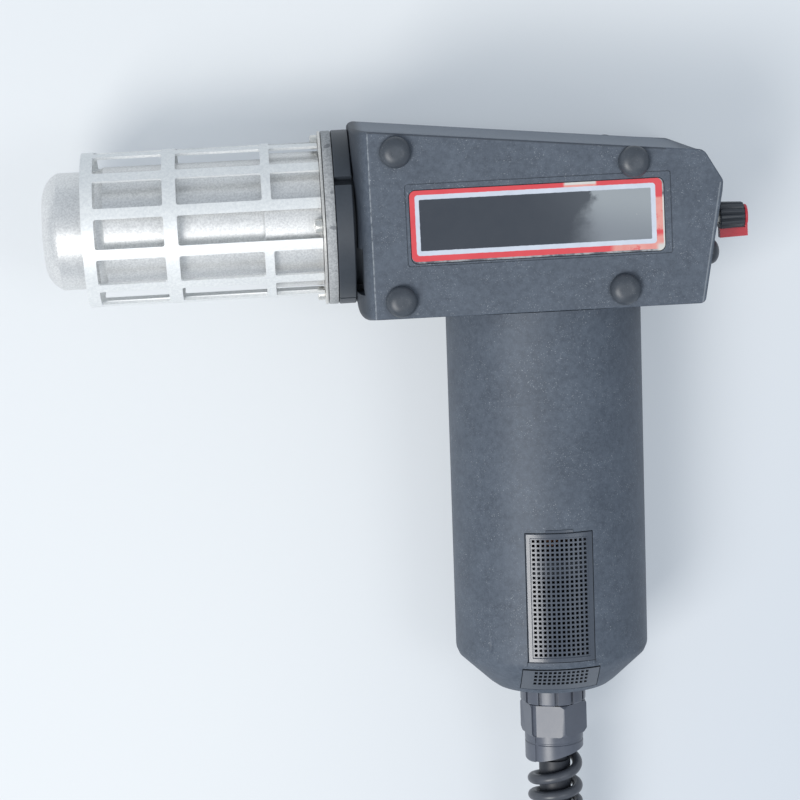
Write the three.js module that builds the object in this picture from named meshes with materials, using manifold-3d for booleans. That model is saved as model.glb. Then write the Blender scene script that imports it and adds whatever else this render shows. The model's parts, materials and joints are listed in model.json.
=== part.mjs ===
// Hot air plastic welder, lying on its side: nozzle towards -X, handle towards -Y, right side up.
// Sizes are millimetres. Inside the tool group the origin is where the heater axis crosses the
// handle axis, and z = 0 is the plane where the two head shells meet.
import * as THREE from 'three';
import { mergeVertices } from 'three/addons/utils/BufferGeometryUtils.js';
import Module from 'manifold-3d';

const wasm = await Module();
wasm.setup();

// Clearances
const SEAT_GAP = 0.3;
const SLIDE_GAP = 0.4;
const BEARING_GAP = 0.06;

// How far a cutting shape runs past the faces that it cuts through
const OVERCUT = 5;

// Head: a flat side panel and a wider outline where the shells meet, corners as x, y, radius
const HEAD_HALF = 42;
const HEAD_WALL = 3;
const PANEL_EDGE = 1.2;
const HEAD_FRONT = -75.2;
const HEAD_BOTTOM = -41.8;
const REAR_TOP = new THREE.Vector2(74, 4);
const REAR_BOTTOM = new THREE.Vector2(65.2, HEAD_BOTTOM);
const PARTING = [
  [HEAD_FRONT, HEAD_BOTTOM, 6], [REAR_BOTTOM.x, REAR_BOTTOM.y, 2.5], [REAR_TOP.x, REAR_TOP.y, 4],
  [65.5, 18.8, 5], [50.5, 24.2, 8], [HEAD_FRONT, 37.8, 5],
];
const PANEL = [
  [-68.9, -36.8, 2], [58.1, -37.2, 2], [66.4, 9.4, 3],
  [59.3, 21.5, 4], [44, 23, 6], [-68.8, 34.9, 2.5],
];
const CORNER_STEPS = 3;

// The nozzle-end wall stands nearly straight up to this height, then falls back to the panel
const NOSE_WALL = { height: 34, lean: 1.2 };

// Rubber bumpers over the case screws
const BUMPERS = [[-58.9, 26.9], [-59.2, -30.3], [32.3, 18.6], [27.3, -30.2]];
const BUMPER_RADIUS = 6.1;
const BUMPER_HEIGHT = 4.6;
const BUMPER_FLAT = 1.6;
const BUMPER_STEM = 4;
const RECESS_DEPTH = 6;
const BOSS_RADIUS = 6.6;
const SCREW_HEAD_RADIUS = 3.5;
const SCREW_HEAD_HEIGHT = 2.4;
const SCREW_RADIUS = 1.75;
const SCREW_REACH = 12;

// Blank name plate on each panel
const PLATE = { left: -54.4, right: 43.4, bottom: -16.1, top: 11.9, corner: 2.4, depth: 0.8, thick: 0.7 };

// Temperature knob and its potentiometer, power button behind its rubber boot
const KNOB_Y = -8;
const KNOB_RADIUS = 5.9;
const KNOB_LENGTH = 9.6;
const KNOB_RECESS = 1.7;
const KNOB_FLUTES = 14;
const KNOB_FLUTE_DEPTH = 0.5;
const CAP_THICK = 1.1;
const CAP_RADIUS = 4.4;
const POINTER_WIDTH = 4.6;
const POINTER_PROUD = 2.6;
const POINTER_SINK = 1.2;
const POT_SHAFT_RADIUS = 3;
const POT_RADIUS = 7.4;
const POT_LENGTH = 9;
const REAR_SLOPE = 3.2;
const BUTTON_Y = -21.8;
const BUTTON_RADIUS = 5.2;
const BUTTON_PROUD = 2.5;
const BUTTON_TRAVEL = 2;
const SWITCH_SIZE = new THREE.Vector3(14, 11, 12);

// Control board on posts in the left shell
const BOARD = { left: -16, right: 46, bottom: -22, top: 8, thick: 1.6, post: 3, postHeight: 3.5 };

// Neck, gasket, mounting flange and their screws, around the heater axis
const NECK_RADIUS = 34.5;
const NECK_LENGTH = 6.8;
const NECK_SPIGOT_RADIUS = 29;
const NECK_SPIGOT_LENGTH = 6;
const NECK_BORE = 21.5;
const GASKET_THICK = 3.7;
const FLANGE_THICK = 1;
const FLANGE_RADIUS = 34.4;
const FLANGE_SCREW_CIRCLE = 30.2;
const FLANGE_SCREW_RADIUS = 1.6;
const FLANGE_SCREW_HEAD = 2.8;
const FLANGE_SCREW_PROUD = 2.7;
const FLANGE_SCREW_REACH = 5;
const FLANGE_SCREW_ANGLE = 1;
const FLANGE_SCREWS = 4;

// Heater tube, collar, insulation and element
const TUBE_TIP = -197;
const TUBE_RADIUS = 24.6;
const NOSE_RADIUS = 23.2;
const NOSE_END = -175.5;
const NOSE_SHOULDER = 3;
const TUBE_WALL = 1.3;
const TUBE_ROUND = 6;
const TUBE_LIP = 16;
const TUBE_SINK = 5;
const COLLAR_RADIUS = 26.6;
const COLLAR_LENGTH = 22.4;
const SLEEVE_WALL = 0.8;
const SLEEVE_FRONT = -188;
const CORE_FRONT = -184;
const CORE_BACK = -100;
const CORE_CHANNELS = 6;
const CORE_CHANNEL_RADIUS = 3.4;
const CORE_CHANNEL_CIRCLE = 13;
const CORE_BORE = 6;
const ELEMENT_RADIUS = 4.6;
const ELEMENT_WIRE = 0.9;
const ELEMENT_PITCH = 14;

// Guard cage of flat bars and rings
const CAGE_RADIUS = 30.6;
const CAGE_SHEET = 1.1;
const CAGE_BARS = 12;
const BAR_WIDTH = 4;
const BAR_ANGLE = 14;
const FRONT_RING = [-180.7, -175.9];
const MID_RING = [-149, -143.7];
const REAR_RING = [-110.6, -107];

// Handle tube and its lean towards the nozzle
const HANDLE_RADIUS = 39.2;
const HANDLE_WALL = 3;
const HANDLE_LEAN = 0.85;
const HANDLE_TOP = -30;
const HANDLE_END = -194.4;
const END_FACE_RADIUS = 24;
const END_STEP = 1.8;
const CHAMFER_HEIGHT = 12.1;
const CHAMFER_END = HANDLE_END + END_STEP;
const CHAMFER_START = CHAMFER_END + CHAMFER_HEIGHT;
const CHAMFER_RADIUS = 26.4;
const FLOOR_THICK = 4;

// Intake filter cover on the handle and the small grille on its chamfer
const COVER_ABOVE_CHAMFER = 2.9;
const COVER_HEIGHT = 52;
const COVER_BOTTOM = CHAMFER_START + COVER_ABOVE_CHAMFER;
const COVER = { left: -13.2, right: 13.2, top: COVER_BOTTOM + COVER_HEIGHT, bottom: COVER_BOTTOM,
  thick: 1.7, ledge: 2, proud: 0.4 };
const COVER_COLUMNS = 5;
const COVER_ROWS = 8;
const COVER_RIM = 2.6;
const COVER_BAR = 1.3;
const END_GRILLE = { half: 15.3, top: CHAMFER_START - 0.7, bottom: CHAMFER_END + 0.6,
  thick: 1.4, rim: 4.5, edge: 2.6 };
const END_GRILLE_SLOTS = 6;
const END_GRILLE_SLOT = 1.6;

// Motor and blower on the handle axis, measured down from the origin
const RING_TOP = -33.5;
const RING_SHOULDER = -44;
const RING_BOTTOM = -52;
const RING_RADIUS = 32.6;
const RING_WALL = 3.4;
const IMPELLER = { top: -55, bottom: -66, radius: 32, hub: 8, plate: 1.6, blades: 8, blade: 1.4 };
const UPPER_BELL = -69;
const LOWER_BELL = -138;
const BELL_THICK = 6;
const BELL_RIM = 3;
const BELL_SPOKES = 4;
const BELL_SPOKE = 6;
const FIELD_TOP = -84;
const FIELD_LENGTH = 34;
const FIELD_RADIUS = 29;
const FIELD_BORE = 18;
const WINDING_HEIGHT = 6.5;
const WINDING_WALL = 2.5;
const WINDING_RADIUS = 26;
const ARMATURE_RADIUS = 17.4;
const ARMATURE_SLOTS = 12;
const COMMUTATOR = { top: -126.5, length: 10, radius: 11 };
const BRUSH = { width: 6, length: 9, holder: 1.2, reach: 13 };
const SHAFT_RADIUS = 3.5;
const SHAFT_TOP = -55;
const SHAFT_BOTTOM = -146;
const BEARING_RADIUS = 9.5;
const MOTOR_POSTS = 2;
const POST_RADIUS = 2.6;
const POST_CIRCLE = 33;

// Cable gland
const GLAND_SHANK = 10;
const GLAND_COLLAR_RADIUS = 13.4;
const GLAND_COLLAR_LENGTH = 8.4;
const GLAND_NOTCHES = 12;
const GLAND_NUT_FLATS = 24;
const GLAND_NUT_TURN = 13.6;
const GLAND_HEX_LENGTH = 13;
const GLAND_TAIL_RADIUS = 12;
const GLAND_TAIL_LENGTH = 12;
const GLAND_BORE = 5.2;
const LOCK_NUT = 4;
const LOCK_NUT_RADIUS = 15;

// Mains cord with its kink sleeve and spiral
const CORD_RADIUS = 4.75;
const CORD_SECTION_SIDES = 8;
const KINK_LENGTH = 62;
const KINK_SLEEVE_RADIUS = 6.5;
const SPIRAL_RADIUS = 9.3;
const SPIRAL_WIRE = 2.1;
const SPIRAL_PITCH = 7.1;
const SPIRAL_STEPS = 8;
const SPIRAL_SIDES = 5;

// Cord put away: a coil wound in and out again in two layers
const COIL_OUTER = 76.5;
const COIL_PITCH = 10.3;
const COIL_TURNS = 7.5;
const COIL_STEPS = 24;
const COIL_SIDES = 6;
const COIL_FALL = 112;

// Round two-pin plug at the cord's end
const PLUG_RADIUS = 17.5;
const PLUG_LENGTH = 38;
const PLUG_NECK_RADIUS = 8;
const PLUG_NECK_LENGTH = 14;
const PLUG_SHOULDER = 7;
const PIN_RADIUS = 2.4;
const PIN_LENGTH = 19;
const PIN_SPACING = 19;
const PIN_ROOT = 12;
const PIN_BRIDGE = 3;

const LARGE_ROUND = 36;
const ROUND = 22;
const SMALL_ROUND = 8;

function finish(color, roughness, metalness = 0) {
  return new THREE.MeshStandardMaterial({ color, roughness, metalness });
}
const casing = finish(0x4b525c, 0.75);
const neckBlack = finish(0x2b2f35, 0.6);
const rubber = finish(0x24282e, 0.65);
const plateWhite = finish(0xd9dde2, 0.45);
const red = finish(0xd2303a, 0.4);
const knobBlack = finish(0x1d1f23, 0.45);
const satinSteel = finish(0xc8c9c7, 0.35, 0.9);
const paleAlloy = finish(0xdedfdd, 0.5, 0.6);
const brightScrew = finish(0xd8d8d4, 0.3, 0.9);
const fibre = finish(0x6e7276, 0.95);
const ceramic = finish(0xe8e4da, 0.8);
const mica = finish(0xb9a98a, 0.6);
const heaterWire = finish(0x8b857c, 0.5, 0.8);
const laminations = finish(0x6a6b6d, 0.5, 0.8);
const copper = finish(0xb06a3a, 0.4, 0.9);
const carbon = finish(0x2c2c2e, 0.7);
const boardGreen = finish(0x2f6b46, 0.6);
const grilleBlack = finish(0x24272c, 0.55);
const glandBlack = finish(0x22262b, 0.5);
const cordBlack = finish(0x1e2125, 0.7);

// A geometry with shared vertices and its faces pointing out
function closed(geometry) {
  let bare = geometry.clone();
  for (const name of Object.keys(bare.attributes)) if (name !== 'position') bare.deleteAttribute(name);
  bare = mergeVertices(bare, 1e-4);
  const index = bare.index.array;
  const kept = [];
  for (let i = 0; i < index.length; i += 3) {
    const [a, b, c] = [index[i], index[i + 1], index[i + 2]];
    if (a !== b && b !== c && c !== a) kept.push(a, b, c);
  }
  const place = bare.attributes.position;
  const corner = [new THREE.Vector3(), new THREE.Vector3(), new THREE.Vector3()];
  let volume = 0;
  for (let i = 0; i < kept.length; i += 3) {
    corner.forEach((p, j) => p.fromBufferAttribute(place, kept[i + j]));
    volume += corner[0].dot(corner[1].cross(corner[2]));
  }
  if (volume < 0) {
    for (let i = 0; i < kept.length; i += 3) [kept[i], kept[i + 1]] = [kept[i + 1], kept[i]];
  }
  bare.setIndex(kept);
  return bare;
}

function solid(geometry) {
  const whole = closed(geometry);
  return new wasm.Manifold(new wasm.Mesh({
    numProp: 3,
    vertProperties: new Float32Array(whole.attributes.position.array),
    triVerts: new Uint32Array(whole.index.array),
  }));
}

function geometryOf(manifold) {
  const mesh = manifold.getMesh();
  const geometry = new THREE.BufferGeometry();
  geometry.setAttribute('position', new THREE.BufferAttribute(new Float32Array(mesh.vertProperties), 3));
  geometry.setIndex(new THREE.BufferAttribute(new Uint32Array(mesh.triVerts), 1));
  return geometry;
}

function joined(base, extras) {
  return extras.reduce((whole, extra) => whole.add(extra), base);
}

function cut(base, tools) {
  return tools.reduce((whole, tool) => whole.subtract(tool), base);
}

// Revolves a closed profile of [radius, height] pairs about Y, then turns Y to the axis named
function turned(profile, axis = 'y', sides = ROUND) {
  const points = profile.map(([r, h]) => new THREE.Vector2(r, h));
  if (profile.some(([r]) => r > 0) && profile[0][0] > 0) points.push(points[0].clone());
  const geometry = new THREE.LatheGeometry(points, sides);
  if (axis === 'x') geometry.rotateZ(-Math.PI / 2);
  if (axis === 'z') geometry.rotateX(Math.PI / 2);
  return geometry;
}

function rod(radius, from, to, axis = 'y', sides = SMALL_ROUND) {
  return turned([[0, from], [radius, from], [radius, to], [0, to]], axis, sides);
}

function ring(inner, outer, from, to, axis = 'y', sides = ROUND) {
  return turned([[inner, from], [outer, from], [outer, to], [inner, to]], axis, sides);
}

function block(x0, x1, y0, y1, z0, z1) {
  const geometry = new THREE.BoxGeometry(x1 - x0, y1 - y0, z1 - z0);
  return geometry.translate((x0 + x1) / 2, (y0 + y1) / 2, (z0 + z1) / 2);
}

// Outline with rounded corners, each drawn with the same number of points
function rounded(corners, steps = CORNER_STEPS) {
  const points = [];
  const count = corners.length;
  corners.forEach(([x, y, radius], i) => {
    const here = new THREE.Vector2(x, y);
    const before = corners[(i + count - 1) % count];
    const after = corners[(i + 1) % count];
    const back = new THREE.Vector2(before[0] - x, before[1] - y).normalize();
    const ahead = new THREE.Vector2(after[0] - x, after[1] - y).normalize();
    const half = Math.acos(THREE.MathUtils.clamp(back.dot(ahead), -1, 1)) / 2;
    const reach = radius / Math.tan(half);
    const start = here.clone().addScaledVector(back, reach);
    const end = here.clone().addScaledVector(ahead, reach);
    const centre = here.clone().addScaledVector(back.clone().add(ahead).normalize(), radius / Math.sin(half));
    const from = start.clone().sub(centre).angle();
    let sweep = end.clone().sub(centre).angle() - from;
    while (sweep > Math.PI) sweep -= 2 * Math.PI;
    while (sweep < -Math.PI) sweep += 2 * Math.PI;
    for (let k = 0; k <= steps; k++) {
      const angle = from + sweep * k / steps;
      points.push(new THREE.Vector2(centre.x + radius * Math.cos(angle), centre.y + radius * Math.sin(angle)));
    }
  });
  return points;
}

// Corners of a convex outline moved inwards by a distance, or outwards if it is negative
function inset(corners, distance) {
  const count = corners.length;
  return corners.map(([x, y, radius], i) => {
    const before = corners[(i + count - 1) % count];
    const after = corners[(i + 1) % count];
    const into = new THREE.Vector2(x - before[0], y - before[1]).normalize();
    const out = new THREE.Vector2(after[0] - x, after[1] - y).normalize();
    const turn = into.x * out.y - into.y * out.x;
    const shift = new THREE.Vector2().addScaledVector(into, -1).add(out).multiplyScalar(distance / turn);
    return [x + shift.x, y + shift.y, Math.max(radius - distance, 0.6)];
  });
}

// Solid through outlines of equal point count, each at its own z
function loft(sections) {
  const count = sections[0].outline.length;
  const positions = sections.flatMap(({ outline, z }) => outline.flatMap((p) => [p.x, p.y, z]));
  const index = [];
  for (let s = 0; s + 1 < sections.length; s++) {
    for (let i = 0; i < count; i++) {
      const j = (i + 1) % count;
      const [a, b] = [s * count + i, s * count + j];
      index.push(a, b, b + count, a, b + count, a + count);
    }
  }
  const last = (sections.length - 1) * count;
  for (const [a, b, c] of THREE.ShapeUtils.triangulateShape(sections[0].outline, [])) index.push(a, c, b);
  for (const [a, b, c] of THREE.ShapeUtils.triangulateShape(sections.at(-1).outline, [])) {
    index.push(last + a, last + b, last + c);
  }
  const geometry = new THREE.BufferGeometry();
  geometry.setAttribute('position', new THREE.Float32BufferAttribute(positions, 3));
  geometry.setIndex(index);
  return geometry;
}

function extruded(outline, from, to) {
  return loft([{ outline, z: from }, { outline, z: to }]);
}

// Tube through points with its section carried along without twist
function swept(points, radius, sides) {
  const count = points.length;
  const positions = [];
  const index = [];
  const across = new THREE.Vector3();
  points.forEach((point, i) => {
    const tangent = points[Math.min(i + 1, count - 1)].clone().sub(points[Math.max(i - 1, 0)]).normalize();
    if (i === 0) {
      across.set(0, 0, 1).cross(tangent);
      if (across.lengthSq() < 0.01) across.set(1, 0, 0);
    }
    across.addScaledVector(tangent, -across.dot(tangent)).normalize();
    const other = tangent.clone().cross(across);
    for (let k = 0; k < sides; k++) {
      const angle = 2 * Math.PI * k / sides;
      const place = point.clone().addScaledVector(across, radius * Math.cos(angle))
        .addScaledVector(other, radius * Math.sin(angle));
      positions.push(place.x, place.y, place.z);
    }
  });
  for (let i = 0; i + 1 < count; i++) {
    for (let k = 0; k < sides; k++) {
      const [a, b] = [i * sides + k, i * sides + (k + 1) % sides];
      index.push(a, b, b + sides, a, b + sides, a + sides);
    }
  }
  for (let k = 1; k + 1 < sides; k++) {
    index.push(0, k + 1, k);
    index.push((count - 1) * sides, (count - 1) * sides + k, (count - 1) * sides + k + 1);
  }
  const geometry = new THREE.BufferGeometry();
  geometry.setAttribute('position', new THREE.Float32BufferAttribute(positions, 3));
  geometry.setIndex(index);
  return geometry;
}

// Least gap between stretches of one tube that are more than half a turn apart
function leastGap(points, radius, apart) {
  let least = Infinity;
  for (let i = 0; i < points.length; i++) {
    for (let j = i + apart; j < points.length; j++) least = Math.min(least, points[i].distanceTo(points[j]));
  }
  return least - 2 * radius;
}

const welder = new THREE.Group();
const tool = new THREE.Group();
const handle = new THREE.Group();
const loose = new THREE.Group();
welder.add(tool, loose);
tool.add(handle);

function add(parent, name, shape, material) {
  const geometry = shape.isBufferGeometry ? closed(shape) : geometryOf(shape);
  const mesh = new THREE.Mesh(geometry, material);
  mesh.name = name;
  parent.add(mesh);
  return mesh;
}

const lean = THREE.MathUtils.degToRad(HANDLE_LEAN);
handle.rotation.z = -lean;

function inHandle(geometry) {
  return geometry.rotateZ(-lean);
}

// x of the slanted rear wall at a height y
function rearWall(y) {
  return THREE.MathUtils.mapLinear(y, REAR_BOTTOM.y, REAR_TOP.y, REAR_BOTTOM.x, REAR_TOP.x);
}

// Corners of the head's outline at the top of the nozzle-end wall's straight stretch
function waistCorners() {
  const share = NOSE_WALL.height / (HEAD_HALF - PANEL_EDGE);
  const shoulder = inset(PANEL, -PANEL_EDGE * 0.6);
  return PARTING.map((corner, i) => {
    const mixed = corner.map((value, k) => THREE.MathUtils.lerp(value, shoulder[i][k], share));
    if (corner[0] === HEAD_FRONT) mixed[0] = HEAD_FRONT + NOSE_WALL.lean;
    return mixed;
  });
}

function headSolid(grow, seam) {
  const parting = rounded(inset(PARTING, -grow));
  const waist = rounded(inset(waistCorners(), -grow));
  const shoulder = rounded(inset(PANEL, -grow - PANEL_EDGE * 0.6));
  const panel = rounded(inset(PANEL, -grow));
  return loft([
    { outline: parting, z: seam },
    { outline: waist, z: NOSE_WALL.height },
    { outline: shoulder, z: HEAD_HALF + grow - PANEL_EDGE },
    { outline: panel, z: HEAD_HALF + grow },
  ]);
}

// The knob stands in a shallow round recess of the slanted wall
const pointerReach = KNOB_RADIUS + POINTER_PROUD;
const knobStart = rearWall(KNOB_Y + pointerReach) - KNOB_RECESS + SLIDE_GAP;
const potFront = rearWall(KNOB_Y - POT_RADIUS) - HEAD_WALL - REAR_SLOPE;
const switchFront = rearWall(BUTTON_Y) - HEAD_WALL - REAR_SLOPE - BUTTON_TRAVEL;

function headShell() {
  const within = (corners) => inset(corners, HEAD_WALL).map(([x, y]) => new THREE.Vector2(x, y));
  const inner = loft([
    { outline: within(PARTING), z: -1 },
    { outline: within(waistCorners()), z: NOSE_WALL.height - HEAD_WALL },
    { outline: within(PANEL), z: HEAD_HALF - HEAD_WALL },
  ]);
  const bosses = BUMPERS.map(([x, y]) =>
    solid(rod(BOSS_RADIUS, SEAT_GAP / 2, HEAD_HALF - 1, 'z').translate(x, y, 0)));
  const drills = BUMPERS.flatMap(([x, y]) => [
    solid(rod(BUMPER_STEM + SEAT_GAP, HEAD_HALF - RECESS_DEPTH, HEAD_HALF + 1, 'z').translate(x, y, 0)),
    solid(rod(SCREW_RADIUS + SEAT_GAP, -1, HEAD_HALF - RECESS_DEPTH + 1, 'z').translate(x, y, 0)),
  ]);
  const mouthRadius = NECK_SPIGOT_RADIUS + SEAT_GAP;
  const mouth = solid(rod(mouthRadius, HEAD_FRONT - OVERCUT, HEAD_FRONT + HEAD_WALL + 8, 'x', ROUND));
  const handleHole = solid(inHandle(rod(RING_RADIUS + SEAT_GAP, RING_SHOULDER - 20, RING_TOP, 'y', ROUND)));
  const shaftHole = solid(rod(POT_SHAFT_RADIUS + 1, potFront, REAR_TOP.x + 5, 'x').translate(0, KNOB_Y, 0));
  const knobRecess = solid(rod(pointerReach + SLIDE_GAP, knobStart - SLIDE_GAP, REAR_TOP.x + 5, 'x', ROUND)
    .translate(0, KNOB_Y, 0));
  const buttonHole = solid(rod(BUTTON_RADIUS + SLIDE_GAP, switchFront, REAR_TOP.x + 5, 'x', 2 * SMALL_ROUND)
    .translate(0, BUTTON_Y, 0));
  const hollow = solid(headSolid(0, SEAT_GAP / 2)).subtract(solid(inner));
  return cut(joined(hollow, bosses), [...drills, mouth, handleHole, shaftHole, knobRecess, buttonHole]);
}

function plateCorners(distance) {
  const { left, right, bottom, top, corner } = PLATE;
  const corners = [[left, bottom, corner], [right, bottom, corner], [right, top, corner], [left, top, corner]];
  return inset(corners, distance);
}

function boardPosts() {
  const seat = -HEAD_HALF + HEAD_WALL;
  const corners = [[BOARD.left + 5, BOARD.bottom + 5], [BOARD.right - 5, BOARD.top - 5],
    [BOARD.left + 5, BOARD.top - 5], [BOARD.right - 5, BOARD.bottom + 5]];
  const post = () => rod(BOARD.post, seat - 1, seat + BOARD.postHeight, 'z');
  return corners.map(([x, y]) => solid(post().translate(x, y, 0)));
}

function potCradle(sign) {
  const z = sign * (POT_RADIUS + SEAT_GAP + 1.5);
  const wall = sign * (HEAD_HALF - HEAD_WALL + 1);
  const [low, high] = sign > 0 ? [z, wall] : [wall, z];
  return solid(block(potFront - POT_LENGTH + 2, potFront - 2, KNOB_Y - 1.5, KNOB_Y + 1.5, low, high));
}

function switchCradle(sign) {
  const z = sign * (SWITCH_SIZE.z / 2 + SEAT_GAP);
  const wall = sign * (HEAD_HALF - HEAD_WALL + 1);
  const [low, high] = sign > 0 ? [z, wall] : [wall, z];
  return solid(block(switchFront - SWITCH_SIZE.x + 2, switchFront - 4, BUTTON_Y - 2, BUTTON_Y + 2, low, high));
}

function makeHead() {
  const right = headShell();
  const left = right.mirror([0, 0, 1]);
  const plateRecess = solid(extruded(rounded(plateCorners(-SEAT_GAP)), HEAD_HALF - PLATE.depth, HEAD_HALF + 1));
  const cradles = [potCradle(1), switchCradle(1)];
  add(tool, 'head_shell_right', joined(right, cradles).subtract(plateRecess), casing);
  add(tool, 'head_shell_left', joined(left, [potCradle(-1), switchCradle(-1), ...boardPosts()]), casing);
  for (const [side, sign] of [['right', 1], ['left', -1]]) {
    BUMPERS.forEach(([x, y], i) => {
      add(tool, `bumper_${side}_${i + 1}`, bumper().scale(1, 1, sign).translate(x, y, 0), rubber);
    });
  }
  const plateBack = HEAD_HALF - PLATE.depth + SEAT_GAP;
  add(tool, 'name_plate', extruded(rounded(plateCorners(0)), plateBack, plateBack + PLATE.thick), plateWhite);
  BUMPERS.forEach(([x, y], i) => add(tool, `case_screw_${i + 1}`, caseScrew().translate(x, y, 0), brightScrew));
}

function bumper() {
  const foot = HEAD_HALF + SEAT_GAP;
  const profile = [[0, foot - 2.6], [BUMPER_STEM, foot - 2.6], [BUMPER_STEM, foot], [BUMPER_RADIUS, foot],
    [BUMPER_RADIUS, foot + 0.9]];
  const steps = 3;
  const dome = BUMPER_HEIGHT - SEAT_GAP - 0.9;
  for (let i = 1; i <= steps; i++) {
    const angle = Math.PI / 2 * i / steps;
    const radius = BUMPER_FLAT + (BUMPER_RADIUS - BUMPER_FLAT) * Math.cos(angle);
    profile.push([radius, foot + 0.9 + dome * Math.sin(angle)]);
  }
  profile.push([0, foot + 0.9 + dome]);
  return turned(profile, 'z', 10);
}

function caseScrew() {
  const seat = HEAD_HALF - RECESS_DEPTH + SEAT_GAP;
  const top = seat + SCREW_HEAD_HEIGHT;
  return turned([[0, -SCREW_REACH], [SCREW_RADIUS, -SCREW_REACH], [SCREW_RADIUS, seat],
    [SCREW_HEAD_RADIUS, seat], [SCREW_HEAD_RADIUS, top], [0, top]], 'z', SMALL_ROUND);
}

function makeControls() {
  const outline = [];
  for (let i = 0; i < KNOB_FLUTES * 4; i++) {
    const angle = 2 * Math.PI * i / (KNOB_FLUTES * 4);
    const radius = KNOB_RADIUS - (i % 4 < 2 ? 0 : KNOB_FLUTE_DEPTH);
    outline.push(new THREE.Vector2(radius * Math.cos(angle), radius * Math.sin(angle)));
  }
  const barrelEnd = knobStart + KNOB_LENGTH;
  const barrel = solid(extruded(outline, knobStart, barrelEnd).rotateY(Math.PI / 2).translate(0, KNOB_Y, 0));
  const shaftEnd = barrelEnd - 2.5;
  const bore = solid(rod(POT_SHAFT_RADIUS + BEARING_GAP, knobStart - 1, shaftEnd + SEAT_GAP, 'x')
    .translate(0, KNOB_Y, 0));
  const pointerRoot = KNOB_Y - KNOB_RADIUS + POINTER_SINK;
  const slot = solid(block(knobStart - 1, barrelEnd + 1, KNOB_Y - KNOB_RADIUS - 1, pointerRoot + SEAT_GAP,
    -POINTER_WIDTH / 2 - SEAT_GAP, POINTER_WIDTH / 2 + SEAT_GAP));
  add(tool, 'knob_barrel', cut(barrel, [bore, slot]), knobBlack);
  const capBack = barrelEnd + SEAT_GAP;
  const disc = solid(rod(CAP_RADIUS, capBack, capBack + CAP_THICK, 'x', ROUND).translate(0, KNOB_Y, 0));
  const spoke = solid(block(capBack, capBack + CAP_THICK, KNOB_Y - pointerReach, KNOB_Y,
    -POINTER_WIDTH / 2, POINTER_WIDTH / 2));
  const bar = solid(block(knobStart, capBack + CAP_THICK, KNOB_Y - pointerReach, pointerRoot,
    -POINTER_WIDTH / 2, POINTER_WIDTH / 2));
  add(tool, 'knob_cap', joined(disc, [spoke, bar]), red);
  add(tool, 'potentiometer_shaft',
    rod(POT_SHAFT_RADIUS, potFront + SLIDE_GAP, shaftEnd, 'x').translate(0, KNOB_Y, 0), brightScrew);
  const pot = rod(POT_RADIUS, potFront - POT_LENGTH, potFront, 'x', ROUND).translate(0, KNOB_Y, 0);
  add(tool, 'potentiometer', pot, knobBlack);

  const wall = rearWall(BUTTON_Y);
  const base = switchFront + BUTTON_TRAVEL + SLIDE_GAP;
  const shoulder = wall + BUTTON_PROUD - BUTTON_RADIUS * 0.7;
  const dome = wall + BUTTON_PROUD - shoulder;
  const profile = [[0, base], [BUTTON_RADIUS, base], [BUTTON_RADIUS, shoulder]];
  for (let i = 1; i <= 4; i++) {
    const angle = Math.PI / 2 * i / 4;
    profile.push([BUTTON_RADIUS * Math.cos(angle), shoulder + dome * Math.sin(angle)]);
  }
  profile[profile.length - 1][0] = 0;
  add(tool, 'power_button', turned(profile, 'x', 2 * SMALL_ROUND).translate(0, BUTTON_Y, 0), rubber);
  add(tool, 'power_switch', block(switchFront - SWITCH_SIZE.x, switchFront, BUTTON_Y - SWITCH_SIZE.y / 2,
    BUTTON_Y + SWITCH_SIZE.y / 2, -SWITCH_SIZE.z / 2, SWITCH_SIZE.z / 2), knobBlack);

  const seat = -HEAD_HALF + HEAD_WALL + BOARD.postHeight + SEAT_GAP;
  const board = block(BOARD.left, BOARD.right, BOARD.bottom, BOARD.top, seat, seat + BOARD.thick);
  add(tool, 'control_board', board, boardGreen);
}

// Places along the heater axis, from the head forwards
const neckBack = HEAD_FRONT - SEAT_GAP;
const neckFront = neckBack - NECK_LENGTH;
const gasketFront = neckFront - SEAT_GAP - GASKET_THICK;
const flangeFront = gasketFront - SEAT_GAP - FLANGE_THICK;
const tubeBack = neckFront + TUBE_SINK;

function aroundFlange(make) {
  const copies = [];
  for (let i = 0; i < FLANGE_SCREWS; i++) {
    const angle = THREE.MathUtils.degToRad(FLANGE_SCREW_ANGLE + 360 * i / FLANGE_SCREWS);
    copies.push(make().translate(0, 0, FLANGE_SCREW_CIRCLE).rotateX(angle));
  }
  return copies;
}

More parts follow.
